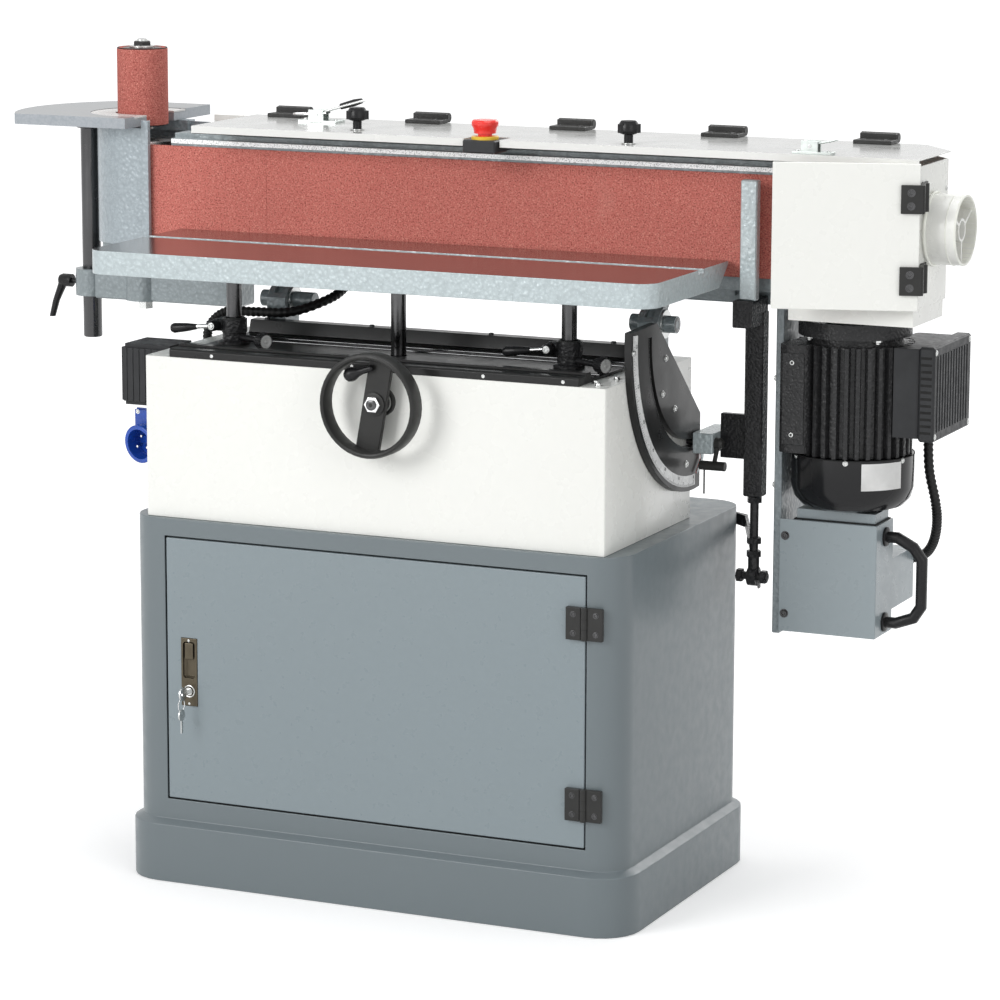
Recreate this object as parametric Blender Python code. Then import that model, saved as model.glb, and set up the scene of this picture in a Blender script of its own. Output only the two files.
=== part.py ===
"""Oscillating edge sander with a sanding drum at its left end. Metres, +Z up, +Y away from the operator."""

import math

import bmesh
import bpy
from mathutils import Matrix, Vector

OBJECT_NAME = "edge_sander"
GAP = 0.0003

# Cabinet
PLINTH_L, PLINTH_D, PLINTH_H, PLINTH_R = 0.831, 0.521, 0.096, 0.062
BODY_L, BODY_D, BODY_R = 0.805, 0.495, 0.050
CABINET_H = 0.560
SHEET = 0.003
DOOR_X0, DOOR_X1, DOOR_Z0, DOOR_Z1 = -0.337, 0.3465, 0.1295, 0.531
DOOR_GAP = 0.0025
DOOR_DEPTH = 0.015
HINGE_X = DOOR_X1 + 0.001
HINGE_Y = -BODY_D / 2 - 0.006

# White console on the cabinet
CONSOLE_X0, CONSOLE_X1 = -0.3745, 0.3715
CONSOLE_Y0, CONSOLE_Y1 = -0.2375, 0.0945
CONSOLE_H = 0.243
CONSOLE_TOP = CABINET_H + CONSOLE_H
SADDLE_X0, SADDLE_X1 = -0.3335, 0.3290

# Tilt axis, along X
TILT_Y, TILT_Z = 0.075, CONSOLE_TOP + 0.050
QUADRANT_R = 0.2465
SLOT_R = 0.174
POINTER_X0, POINTER_X1 = 0.3860, 0.4175
PIN_R = 0.013

# Work table and its posts
TABLE_L, TABLE_D, TABLE_T = 0.916, 0.2965, 0.036
TABLE_TOP = 0.955
TABLE_X = -0.0185
TABLE_Y1 = 0.0625
TABLE_UNDERCUT = 0.037
POST_R = 0.0115
POST_X = (-0.2965, -0.0205, 0.2555)
POST_Y = -0.100
POST_FOOT = 0.620

# Sanding belt and its rollers
BELT_FRONT = 0.070
BELT_W = 0.152
BELT_T = 0.0012
BELT_Z0 = 0.931
ROLLER_R = 0.0635
IDLER_X = -0.582
DRIVE_X = 0.613
ROLLER_Y = BELT_FRONT + BELT_T + GAP + ROLLER_R
ROLLER_Z0, ROLLER_Z1 = BELT_Z0 - 0.002, BELT_Z0 + BELT_W + 0.002

# Sanding drum and round table
DRUM_R, DRUM_H = 0.040, 0.122
DRUM_Z0 = 1.107
SPINDLE_R = 0.010
ROUND_TOP, ROUND_T, ROUND_R = 1.127, 0.0165, 0.202
INSERT_R = 0.0825
ROUND_X1, ROUND_Y0, ROUND_Y1 = -0.551, 0.022, 0.300
ROUND_POST_X, ROUND_POST_Y, ROUND_POST_R = -0.6825, 0.140, 0.0150

# Lid and drive box
LID_TOP, LID_LIP, LID_T = 1.1225, 0.0115, 0.002
LID_X0, LID_X1, LID_Y0, LID_Y1 = -0.4245, 0.748, 0.005, 0.2205
BOX_X0, BOX_X1, BOX_Y0, BOX_Y1 = 0.5455, 0.7425, 0.0175, 0.2190
BOX_Z0, BOX_Z1 = 0.9055, 1.1105
CORNER_X, CORNER_Y = 0.054, 0.061
SHEET_T = 0.0025
DOOR_AJAR = 17.0
PORT_R, PORT_X1, PORT_Y, PORT_Z = 0.0515, 0.793, 0.090, 1.0155

DRIVE_HINGE = (0.7505, 0.030)
TENSION_X, TENSION_Y, BOX_LATCH_X, BOX_LATCH_Y, PIN_H = -0.278, 0.150, 0.580, 0.021, 0.0115
LID_HINGE_XS = (-0.359, -0.119, 0.125, 0.373, 0.614)

# Motor
MOTOR_R = 0.0870
COWL_R = 0.0912
PLATE_X0, PLATE_X1, PLATE_Y0, PLATE_Y1 = 0.5075, 0.5195, 0.085, 0.215

# Handwheel
WHEEL_X, WHEEL_Z, WHEEL_Y, WHEEL_R = 0.020, 0.761, -0.277, 0.077
WHEEL_LEAN = 10.0

# Switch box at the console's left end
SWITCH_X0, SWITCH_Y, START_Z, STOP_Z = -0.465, -0.115, 0.781, 0.736

MATERIALS = {
    "grey_paint": ((0.155, 0.175, 0.185), 0.45, 0.0),
    "hammertone": ((0.30, 0.34, 0.35), 0.35, 0.3),
    "white_paint": ((0.80, 0.80, 0.77), 0.35, 0.0),
    "black_paint": ((0.012, 0.012, 0.013), 0.40, 0.0),
    "black_plastic": ((0.015, 0.015, 0.016), 0.45, 0.0),
    "black_steel": ((0.020, 0.020, 0.022), 0.28, 0.8),
    "cast_iron": ((0.34, 0.34, 0.35), 0.18, 1.0),
    "abrasive": ((0.42, 0.10, 0.07), 0.90, 0.0),
    "rubber": ((0.020, 0.020, 0.020), 0.80, 0.0),
    "zinc": ((0.60, 0.60, 0.57), 0.30, 1.0),
    "bronze": ((0.10, 0.085, 0.06), 0.40, 0.8),
    "red_plastic": ((0.60, 0.012, 0.015), 0.30, 0.0),
    "green_plastic": ((0.01, 0.25, 0.04), 0.30, 0.0),
    "blue_plastic": ((0.010, 0.075, 0.33), 0.35, 0.0),
    "grey_plastic": ((0.10, 0.11, 0.12), 0.50, 0.0),
}


# ---------------------------------------------------------------- scene

def clear_scene():
    for obj in list(bpy.data.objects):
        bpy.data.objects.remove(obj, do_unlink=True)


def new_collection(name):
    found = bpy.data.collections.new(name)
    bpy.context.scene.collection.children.link(found)
    return found


def material(name):
    if name in bpy.data.materials:
        return bpy.data.materials[name]
    colour, roughness, metallic = MATERIALS[name]
    made = bpy.data.materials.new(name)
    made.use_nodes = True
    shader = made.node_tree.nodes["Principled BSDF"]
    shader.inputs["Base Color"].default_value = (*colour, 1.0)
    shader.inputs["Roughness"].default_value = roughness
    shader.inputs["Metallic"].default_value = metallic
    return made


# ---------------------------------------------------------------- shapes

AXES = {
    "X": lambda a, b, h: Vector((h, a, b)),
    "Y": lambda a, b, h: Vector((a, h, b)),
    "Z": lambda a, b, h: Vector((a, b, h)),
}


def tidy(bm):
    bmesh.ops.recalc_face_normals(bm, faces=bm.faces)
    return bm


def loft(sections, axis="Z"):
    """A closed solid through outlines of the same number of points: [(outline, height), ...]."""
    bm = bmesh.new()
    place = AXES[axis]
    rings = [[bm.verts.new(place(a, b, h)) for a, b in outline] for outline, h in sections]
    for low, high in zip(rings, rings[1:]):
        for i in range(len(low)):
            j = (i + 1) % len(low)
            bm.faces.new((low[i], low[j], high[j], high[i]))
    bm.faces.new(reversed(rings[0]))
    bm.faces.new(rings[-1])
    return tidy(bm)


def prism(outline, low, high, axis="Z"):
    return loft([(outline, low), (outline, high)], axis)


def box(x0, x1, y0, y1, z0, z1, bevel=0.0, segments=1):
    bm = prism(((x0, y0), (x1, y0), (x1, y1), (x0, y1)), z0, z1)
    if bevel:
        bmesh.ops.bevel(bm, geom=bm.edges[:], offset=bevel, segments=segments, affect="EDGES")
    return bm


def circle(a, b, radius, count=32, turn=0.0):
    step = math.tau / count
    return [(a + radius * math.cos(turn + i * step), b + radius * math.sin(turn + i * step)) for i in range(count)]


def arc(a, b, radius, start, end, count):
    """Points from one angle to another, in degrees, ends included."""
    angles = [math.radians(start + (end - start) * i / count) for i in range(count + 1)]
    return [(a + radius * math.cos(t), b + radius * math.sin(t)) for t in angles]


def rounded(x0, x1, y0, y1, radius, count=6):
    corners = ((x1 - radius, y1 - radius, 0), (x0 + radius, y1 - radius, 90),
               (x0 + radius, y0 + radius, 180), (x1 - radius, y0 + radius, 270))
    return [p for a, b, t in corners for p in arc(a, b, radius, t, t + 90, count)]


def cylinder(a, b, radius, low, high, axis="Z", count=32):
    return prism(circle(a, b, radius, count), low, high, axis)


def lathe(profile, a, b, axis="Z", count=32):
    """A solid of revolution from (radius, height) points that start and end on the axis."""
    bm = bmesh.new()
    place = AXES[axis]
    rings = []
    for radius, h in profile:
        if radius == 0.0:
            rings.append([bm.verts.new(place(a, b, h))])
        else:
            rings.append([bm.verts.new(place(p, q, h)) for p, q in circle(a, b, radius, count)])
    for low, high in zip(rings, rings[1:]):
        for i in range(count):
            j = (i + 1) % count
            ring = [low[i % len(low)], low[j % len(low)], high[j % len(high)], high[i % len(high)]]
            bm.faces.new(list(dict.fromkeys(ring)))
    return tidy(bm)


def hoop(section, a, b, axis="Y", count=44):
    """A ring swept from a closed outline of (radius, height) points."""
    bm = bmesh.new()
    place = AXES[axis]
    rings = []
    for i in range(count):
        t = math.tau * i / count
        rings.append([bm.verts.new(place(a + r * math.cos(t), b + r * math.sin(t), h)) for r, h in section])
    for near, far in zip(rings, rings[1:] + rings[:1]):
        for k in range(len(section)):
            j = (k + 1) % len(section)
            bm.faces.new((near[k], near[j], far[j], far[k]))
    return tidy(bm)


def pipe(points, radius, count=10, width=None):
    """A round or flattened bar along a path, with flat ends."""
    path = [Vector(p) for p in points]
    bm = bmesh.new()
    rings = []
    side = None
    for i, centre in enumerate(path):
        before = (centre - path[i - 1]).normalized() if i else None
        after = (path[i + 1] - centre).normalized() if i + 1 < len(path) else None
        along = ((before or after) + (after or before)).normalized()
        if side is None:
            side = along.orthogonal().normalized()
        side = (side - along * side.dot(along)).normalized()
        up = along.cross(side)
        stretch = 1.0 / max(0.5, along.dot(after or before))
        ring = []
        for k in range(count):
            t = math.tau * k / count
            offset = side * math.cos(t) * (width or radius) + up * math.sin(t) * radius
            ring.append(bm.verts.new(centre + offset * (stretch if 0 < i < len(path) - 1 else 1.0)))
        rings.append(ring)
    for low, high in zip(rings, rings[1:]):
        for k in range(count):
            j = (k + 1) % count
            bm.faces.new((low[k], low[j], high[j], high[k]))
    bm.faces.new(reversed(rings[0]))
    bm.faces.new(rings[-1])
    return tidy(bm)


def smooth_path(points, steps=6):
    """A Catmull-Rom curve through the points."""
    path = [Vector(p) for p in points]
    ends = [path[0] * 2 - path[1]] + path + [path[-1] * 2 - path[-2]]
    made = []
    for a, b, c, d in zip(ends, ends[1:], ends[2:], ends[3:]):
        for i in range(steps):
            t = i / steps
            made.append(0.5 * (2 * b + (c - a) * t + (2 * a - 5 * b + 4 * c - d) * t * t
                               + (3 * b - a - 3 * c + d) * t * t * t))
    return made + [path[-1]]


def moved(bm, matrix):
    bmesh.ops.transform(bm, matrix=matrix, verts=bm.verts)
    return bm


def aimed(bm, origin, direction):
    """Turns a shape built along +Z from the world origin so that it starts at a point and runs along a direction."""
    turn = Vector((0, 0, 1)).rotation_difference(Vector(direction)).to_matrix().to_4x4()
    return moved(bm, Matrix.Translation(origin) @ turn)


def to_object(name, bm, collection, pivot):
    bmesh.ops.translate(bm, verts=bm.verts, vec=-Vector(pivot))
    mesh = bpy.data.meshes.new(name)
    bm.to_mesh(mesh)
    bm.free()
    obj = bpy.data.objects.new(name, mesh)
    obj.location = pivot
    collection.objects.link(obj)
    return obj


def combine(obj, operation, shapes):
    for bm in shapes:
        name = f"{obj.name}_{operation.lower()}_{len(obj.modifiers)}"
        tool = to_object(name, bm, CUTTERS, obj.location)
        tool.display_type = "WIRE"
        tool.hide_render = True
        modifier = obj.modifiers.new(name, "BOOLEAN")
        modifier.operation = operation
        modifier.solver = "EXACT"
        modifier.object = tool


def part(name, look, adds, cuts=(), pivot=(0.0, 0.0, 0.0)):
    """One named piece: the first shape, with the others joined to it and then the cuts taken away."""
    obj = to_object(name, adds[0], PARTS, pivot)
    obj.data.materials.append(material(look))
    combine(obj, "UNION", adds[1:])
    combine(obj, "DIFFERENCE", cuts)
    return obj


# ---------------------------------------------------------------- stand

def cabinet_sections(inset, low, high):
    foot = rounded(-PLINTH_L / 2 + inset, PLINTH_L / 2 - inset, -PLINTH_D / 2 + inset, PLINTH_D / 2 - inset,
                   PLINTH_R - inset)
    body = rounded(-BODY_L / 2 + inset, BODY_L / 2 - inset, -BODY_D / 2 + inset, BODY_D / 2 - inset,
                   BODY_R - inset)
    drop = inset * 0.6
    return [(foot, low), (foot, PLINTH_H - 0.007 - drop), (body, PLINTH_H - drop), (body, high)]


def make_cabinet():
    doorway = box(DOOR_X0 - DOOR_GAP, DOOR_X1 + DOOR_GAP, -BODY_D / 2 - 0.02, -BODY_D / 2 + 0.02,
                  DOOR_Z0 - DOOR_GAP, DOOR_Z1 + DOOR_GAP)
    part("cabinet", "grey_paint", [loft(cabinet_sections(0.0, 0.0, CABINET_H))],
         [loft(cabinet_sections(SHEET, SHEET, CABINET_H - SHEET)), doorway])


def make_cabinet_door():
    front = -BODY_D / 2
    panel = box(DOOR_X0, DOOR_X1, front, front + DOOR_DEPTH, DOOR_Z0, DOOR_Z1, 0.001)
    pan = box(DOOR_X0 + SHEET, DOOR_X1 - SHEET, front + SHEET, front + 0.03, DOOR_Z0 + SHEET, DOOR_Z1 - SHEET)
    slot = box(-0.3134, -0.2858, front - 0.01, front + 0.02, 0.275, 0.380)
    part("cabinet_door", "grey_paint", [panel], [pan, slot], (HINGE_X, HINGE_Y, 0.33))


def make_latch():
    front = -BODY_D / 2
    plate = box(-0.3131, -0.2861, front - 0.0015, front + 0.008, 0.2753, 0.3797, 0.0008)
    grip = box(-0.3095, -0.2897, front - 0.02, front + 0.005, 0.318, 0.374, 0.003)
    hole = cylinder(-0.2996, 0.298, 0.0063, front - 0.02, front + 0.02, "Y", 20)
    paddle = box(-0.3075, -0.2917, front - 0.0005, front + 0.006, 0.345, 0.3745, 0.001)
    part("latch_plate", "bronze", [plate, paddle], [grip, hole])


def make_latch_key():
    front = -BODY_D / 2
    barrel = cylinder(-0.2996, 0.298, 0.006, front - 0.003, front + 0.0245, "Y", 20)
    cam = box(-0.3056, -0.2936, front + 0.020, front + 0.0232, 0.2914, 0.3499, 0.0008)
    blade = box(-0.3006, -0.2986, front - 0.014, front - 0.002, 0.2945, 0.3015)
    bow = cylinder(front - 0.0215, 0.298, 0.0105, -0.3008, -0.2984, "X", 20)
    eye = cylinder(front - 0.0265, 0.298, 0.0025, -0.31, -0.29, "X", 10)
    part("latch_key", "zinc", [barrel, cam, blade, bow], [eye], (-0.2996, front, 0.298))


def make_door_hinge(name, z0, z1):
    front = -BODY_D / 2
    barrel = cylinder(HINGE_X, HINGE_Y, 0.0052, z0, z1, "Z", 16)
    leaf = box(HINGE_X + 0.001, 0.376, HINGE_Y - 0.0005, front - GAP, z0, z1, 0.001)
    part(name, "black_plastic", [barrel, leaf], (), (HINGE_X, HINGE_Y, z0))


def make_console():
    shell = prism(rounded(CONSOLE_X0, CONSOLE_X1, CONSOLE_Y0, CONSOLE_Y1, 0.004, 2), CABINET_H + GAP, CONSOLE_TOP)
    inside = box(CONSOLE_X0 + 0.0025, CONSOLE_X1 - 0.0025, CONSOLE_Y0 + 0.0025, CONSOLE_Y1 - 0.0025,
                 CABINET_H - 0.01, CONSOLE_TOP - 0.0025)
    holes = [cylinder(x, POST_Y, POST_R + 0.001, CONSOLE_TOP - 0.02, CONSOLE_TOP + 0.02, "Z", 20) for x in POST_X]
    shaft = cylinder(WHEEL_X, WHEEL_Z, 0.009, CONSOLE_Y0 - 0.02, CONSOLE_Y0 + 0.01, "Y", 20)
    collar = cylinder(WHEEL_X, WHEEL_Z, 0.021, CONSOLE_Y0 - 0.006, CONSOLE_Y0 + 0.001, "Y", 28)
    part("console", "white_paint", [shell, collar], [inside, *holes, shaft])


def make_saddle():
    low, front = CONSOLE_TOP + GAP, CONSOLE_Y0 + 0.001
    outline = ((front, low), (0.0440, low), (0.0440, low + 0.0230), (0.0220, low + 0.0230), (0.0160, low + 0.0040),
               (-0.1880, low + 0.0040), (-0.1920, low + 0.0155), (-0.2060, low + 0.0155), (-0.2080, low + 0.0125),
               (front + 0.003, low + 0.0125), (front, low + 0.0100))
    holes = [cylinder(x, POST_Y, POST_R + 0.0015, low - 0.02, low + 0.03, "Z", 20) for x in POST_X]
    part("table_saddle", "black_paint", [prism(outline, SADDLE_X0, SADDLE_X1, "X")], holes)


def make_quadrant():
    a, b = TILT_Y, TILT_Z
    sweep = arc(a, b, QUADRANT_R, 175, 276.2, 30)
    outline = sweep + [(0.1023, b - 0.134), (-0.073, b + 0.024)]
    slot = arc(a, b, SLOT_R + 0.0055, 178, 273, 20) + arc(a, b, SLOT_R - 0.0055, 273, 178, 20)
    part("quadrant", "black_paint", [prism(outline, CONSOLE_X1 + GAP, CONSOLE_X1 + 0.011, "X")],
         [prism(slot, CONSOLE_X1 - 0.01, CONSOLE_X1 + 0.03, "X")])


def make_trunnion(name, x):
    low = CONSOLE_TOP + GAP
    outline = [(0.0455, low), (0.0920, low), (0.0920, TILT_Z + 0.010)] + arc(TILT_Y, TILT_Z, 0.025, 47, 150, 8) \
        + [(0.0455, TILT_Z + 0.006)]
    fork = box(x - 0.0068, x + 0.0068, 0.0530, 0.12, low + 0.006, TILT_Z + 0.05)
    bore = cylinder(TILT_Y, TILT_Z, PIN_R + GAP, x - 0.03, x + 0.03, "X", 24)
    part(name, "hammertone", [prism(outline, x - 0.016, x + 0.016, "X")], [fork, bore])


def make_post_clamp(name, x):
    low = CONSOLE_TOP + 0.0046
    body = lathe(((0.0, low), (0.0235, low), (0.0235, low + 0.004), (0.018, low + 0.006), (0.018, low + 0.017),
                  (0.0195, low + 0.018), (0.0195, low + 0.038), (0.0, low + 0.038)), x, POST_Y, "Z", 28)
    ears = [box(x - 0.031, x - 0.012, y - 0.0055, y + 0.0055, low + 0.019, low + 0.037, 0.002)
            for y in (POST_Y - 0.0075, POST_Y + 0.0075)]
    bore = cylinder(x, POST_Y, POST_R + GAP, low - 0.01, low + 0.06, "Z", 28)
    screw = cylinder(x - 0.0245, low + 0.028, 0.0038, POST_Y - 0.03, POST_Y + 0.03, "Y", 16)
    part(name, "black_paint", [body, *ears], [bore, screw])


def make_clamp_lever(name, x):
    a, z, y = x - 0.0245, CONSOLE_TOP + 0.0326, POST_Y - 0.0133
    screw = cylinder(a, z, 0.0035, y - 0.004, POST_Y + 0.0145, "Y", 12)
    hub = lathe(((0.0, y - 0.016), (0.0065, y - 0.016), (0.0085, y - 0.012), (0.0085, y), (0.0, y)), a, z, "Y", 16)
    rod = pipe(((a, y - 0.009, z), (a - 0.030, y - 0.013, z - 0.003)), 0.0030, 10)
    grip = aimed(lathe(((0.0, 0.0), (0.0042, 0.0), (0.0065, 0.016), (0.0078, 0.036), (0.0055, 0.041), (0.0, 0.042)),
                       0.0, 0.0, "Z", 14), (a - 0.026, y - 0.0125, z - 0.0026), (-0.030, -0.004, -0.003))
    part(name, "black_plastic", [hub, screw, rod, grip], (), (a, y, z))


def make_clamp_knob(name, x):
    direction = Vector((0.89, -0.45, 0.0)).normalized()
    start = Vector((x, POST_Y, CONSOLE_TOP + 0.0160)) + direction * 0.0190
    profile = ((0.0, 0.0), (0.0045, 0.0), (0.0045, 0.044), (0.0105, 0.046), (0.0113, 0.050), (0.0113, 0.063),
               (0.0100, 0.064), (0.0100, 0.0625), (0.0, 0.0625))
    part(name, "black_plastic", [aimed(lathe(profile, 0.0, 0.0, "Z", 20), start, direction)], (), start)


def make_stop_bracket():
    y = BODY_D / 2 + GAP
    foot = box(0.300, 0.372, y, y + 0.005, 0.512, 0.554, 0.001)
    stations = ((0.300, y, y + 0.005, 0.533), (0.384, y, y + 0.005, 0.533), (0.403, 0.242, 0.254, 0.530),
                (0.4765, 0.106, 0.118, 0.466))
    strap = loft([(((y0, z - 0.009), (y1, z - 0.009), (y1, z + 0.009), (y0, z + 0.009)), x)
                  for x, y0, y1, z in stations], "X")
    part("stop_bracket", "black_paint", [foot, strap])


def make_switch_box():
    x0, x1 = SWITCH_X0, CONSOLE_X0 - GAP
    body = box(x0, x1, -0.155, -0.075, 0.710, 0.804, 0.006, 2)
    wells = [cylinder(SWITCH_Y, z, 0.0158, x0 - 0.02, x0 + 0.014, "X", 24) for z in (START_Z, STOP_Z)]
    part("switch_box", "black_plastic", [body], wells)


def make_button(name, look, z, proud):
    x = SWITCH_X0
    profile = ((0.0, x + 0.0077), (0.0152, x + 0.0077), (0.0152, x - proud), (0.0138, x - proud - 0.001),
               (0.0, x - proud - 0.001))
    part(name, look, [lathe(profile, SWITCH_Y, z, "X", 24)], (), (x, SWITCH_Y, z))


def make_power_inlet():
    x1 = CONSOLE_X0 - GAP
    housing = box(-0.450, x1, -0.124, -0.070, 0.626, 0.698, 0.005, 2)
    flange = box(-0.4555, x1, -0.130, -0.122, 0.622, 0.702, 0.003, 2)
    collar = lathe(((0.0, 0.0), (0.0265, 0.0), (0.0290, 0.004), (0.0290, 0.040), (0.0275, 0.042), (0.0, 0.042)),
                   0.0, 0.0, "Z", 28)
    hollow = cylinder(0.0, 0.0, 0.0235, 0.016, 0.06, "Z", 28)
    direction = Vector((-0.24, -0.965, -0.10)).normalized()
    start = (-0.4235, -0.1145, 0.6545)
    part("power_inlet", "blue_plastic", [housing, flange, aimed(collar, start, direction)],
         [aimed(hollow, start, direction)])


def make_cable_conduit():
    points = smooth_path(((-0.212, 0.112, 0.8853), (-0.212, 0.112, 0.876), (-0.224, 0.080, 0.858),
                          (-0.268, 0.036, 0.840), (-0.330, 0.032, 0.8365), (-0.380, 0.030, 0.834),
                          (-0.404, 0.020, 0.812), (-0.401, 0.008, 0.782), (-0.391, 0.004, 0.768),
                          (-0.3762, 0.004, 0.768)), 4)
    part("cable_conduit", "rubber", [pipe(points, 0.0078, 10)])


# ---------------------------------------------------------------- work table

def make_table():
    x0, x1 = TABLE_X - TABLE_L / 2, TABLE_X + TABLE_L / 2
    y0, y1 = TABLE_Y1 - TABLE_D, TABLE_Y1
    front = arc(x0 + 0.030, y0 + 0.030, 0.030, 180, 270, 6) + arc(x1 - 0.030, y0 + 0.030, 0.030, 270, 360, 6)
    upper = front + [(x1, y1), (x0, y1)]
    lower = front + [(x1, y1 - TABLE_UNDERCUT), (x0, y1 - TABLE_UNDERCUT)]
    under = TABLE_TOP - TABLE_T
    bays = [box(a + 0.012, b - 0.012, y0 + 0.014, y1 - TABLE_UNDERCUT - 0.012, under - 0.01, TABLE_TOP - 0.012)
            for a, b in ((x0, -0.330), (-0.255, -0.060), (0.020, 0.218), (0.294, x1))]
    groove = box(x0 - 0.01, x1 + 0.01, -0.0560, -0.0380, TABLE_TOP - 0.0065, TABLE_TOP + 0.01)
    slab = loft([(lower, under), (upper, TABLE_TOP - 0.004), (upper, TABLE_TOP)])
    part("work_table", "cast_iron", [slab], [*bays, groove])


def make_post(name, x):
    top = TABLE_TOP - TABLE_T - GAP
    profile = ((0.0, POST_FOOT), (POST_R - 0.001, POST_FOOT), (POST_R, POST_FOOT + 0.002), (POST_R, top), (0.0, top))
    part(name, "black_steel", [lathe(profile, x, POST_Y, "Z", 24)])


def leaning(bm):
    """Turns a shape drawn upright on the handwheel to the angle at which the wheel rests."""
    centre = Vector((WHEEL_X, WHEEL_Y, WHEEL_Z))
    spin = Matrix.Rotation(math.radians(WHEEL_LEAN), 4, "Y")
    return moved(bm, Matrix.Translation(centre) @ spin @ Matrix.Translation(-centre))


def make_handwheel():
    y, x, z, r = WHEEL_Y, WHEEL_X, WHEEL_Z, WHEEL_R
    section = ((r, y - 0.0110), (r - 0.0020, y - 0.0150), (r - 0.0045, y - 0.0160), (r - 0.0070, y - 0.0150),
               (r - 0.0090, y - 0.0110), (r - 0.0090, y + 0.0110), (r - 0.0070, y + 0.0150), (r - 0.0045, y + 0.0160),
               (r - 0.0020, y + 0.0150), (r, y + 0.0110))
    web = leaning(box(x - 0.0185, x + 0.0185, y + 0.0110, y + 0.0190, z - r + 0.006, z + r - 0.006, 0.001))
    web_end = y + 0.0190
    hub = lathe(((0.0, y + 0.0075), (0.0125, y + 0.0075), (0.0170, y + 0.0085), (0.0170, web_end),
                 (0.0150, web_end + 0.004), (0.0150, CONSOLE_Y0 - 0.0075), (0.0, CONSOLE_Y0 - 0.0075)), x, z, "Y", 28)
    nut = cylinder(x, z, 0.0125, y + 0.0020, y + 0.0080, "Y", 6)
    shaft = cylinder(x, z, 0.008, CONSOLE_Y0 - 0.010, POST_Y + 0.012, "Y", 20)
    stud = cylinder(x, z, 0.0055, y - 0.0010, y + 0.0060, "Y", 16)
    pinion = cylinder(x, z, WHEEL_X - POST_X[1] - POST_R - GAP, POST_Y - 0.012, POST_Y + 0.014, "Y", 28)
    part("handwheel", "black_plastic", [hoop(section, x, z), web, hub, nut, stud, shaft, pinion], (), (x, y, z))


def make_wheel_grip():
    y = WHEEL_Y + 0.0055
    joint = Vector((WHEEL_X - 0.003, y, WHEEL_Z + 0.053))
    ball = Vector((WHEEL_X - 0.0345, y, WHEEL_Z + 0.0420))
    along = (ball - joint).normalized()
    profile = ((0.0, -0.0052), (0.0030, -0.0042), (0.0048, -0.0015), (0.0050, 0.014), (0.0062, 0.020), (0.0100, 0.0285), (0.0106, 0.0335),
               (0.0095, 0.0390), (0.0060, 0.0425), (0.0, 0.0437))
    part("wheel_grip", "black_plastic", [aimed(lathe(profile, 0.0, 0.0, "Z", 18), joint, along)], (), joint)


# ---------------------------------------------------------------- head

def make_head_frame():
    beam = box(-0.640, PLATE_X0 - GAP, 0.100, 0.190, 0.888, 0.9235, 0.002)
    platen = box(-0.498, 0.520, BELT_FRONT + 0.0025, 0.090, 0.910, 1.0945, 0.001)
    flange = box(-0.497, 0.530, 0.083, 0.125, 1.088, 1.1020, 0.001)
    stem = box(-0.470, 0.440, 0.088, 0.104, 0.900, 1.095)
    arm = box(-0.6640, -0.400, 0.1130, 0.164, 0.828, 0.892, 0.003)
    idler_boss = cylinder(IDLER_X, ROLLER_Y, 0.032, 0.828, 0.9245, "Z", 28)
    post_boss = cylinder(ROUND_POST_X, ROUND_POST_Y, 0.0265, 0.8296, 0.8725, "Z", 28)
    tongue = [(0.0555, 0.853), (0.0590, 0.8415), (0.0680, 0.8350), (0.0820, 0.8350), (0.0920, 0.8430), (0.1200, 0.8775),
              (0.1500, 0.8890), (0.1500, 0.9000), (0.1010, 0.9000), (0.0620, 0.8680)]
    shift = TILT_Z - 0.853
    tongue = [(a, b + shift) for a, b in tongue]
    tongues = [prism(tongue, x - 0.006, x + 0.006, "X") for x in (-0.301, 0.318)]
    pins = [cylinder(TILT_Y, TILT_Z, PIN_R, low, high, "X", 24) for low, high in ((-0.3380, -0.2480), (0.2825, 0.3547))]
    shaft = cylinder(IDLER_X, ROLLER_Y, SPINDLE_R + 0.0005, 0.80, 0.95, "Z", 20)
    recess = cylinder(IDLER_X, ROLLER_Y, 0.0140, 0.82, 0.8320, "Z", 20)
    post = cylinder(ROUND_POST_X, ROUND_POST_Y, ROUND_POST_R + GAP, 0.80, 0.95, "Z", 28)
    part("head_frame", "hammertone", [beam, platen, flange, stem, arm, idler_boss, post_boss, *tongues, *pins],
         [shaft, recess, post], (0.0, TILT_Y, TILT_Z))


def belt_outline(grow):
    radius = ROLLER_R + GAP + grow
    return arc(DRIVE_X, ROLLER_Y, radius, -90, 90, 26) + arc(IDLER_X, ROLLER_Y, radius, 90, 270, 26)


def make_belt():
    outer = prism(belt_outline(BELT_T), BELT_Z0, BELT_Z0 + BELT_W)
    inner = prism(belt_outline(0.0), BELT_Z0 - 0.01, BELT_Z0 + BELT_W + 0.01)
    part("sanding_belt", "abrasive", [outer], [inner], (0.0, ROLLER_Y, BELT_Z0))


def make_idler():
    top = DRUM_Z0 + DRUM_H
    profile = ((0.0, 0.816), (SPINDLE_R, 0.816), (SPINDLE_R, ROLLER_Z0), (ROLLER_R, ROLLER_Z0), (ROLLER_R, ROLLER_Z1),
               (SPINDLE_R, ROLLER_Z1), (SPINDLE_R, DRUM_Z0 - 0.006), (0.018, DRUM_Z0 - 0.006), (0.018, DRUM_Z0 - GAP),
               (SPINDLE_R, DRUM_Z0 - GAP), (SPINDLE_R, top + GAP), (0.020, top + GAP), (0.020, top + 0.003), (0.0085, top + 0.003),
               (0.0085, top + 0.013), (0.0, top + 0.013))
    bolt = cylinder(IDLER_X, ROLLER_Y, 0.0125, 0.8145, 0.8275, "Z", 6)
    part("idler_roller", "zinc", [lathe(profile, IDLER_X, ROLLER_Y, "Z", 36), bolt], (), (IDLER_X, ROLLER_Y, ROLLER_Z0))


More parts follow.
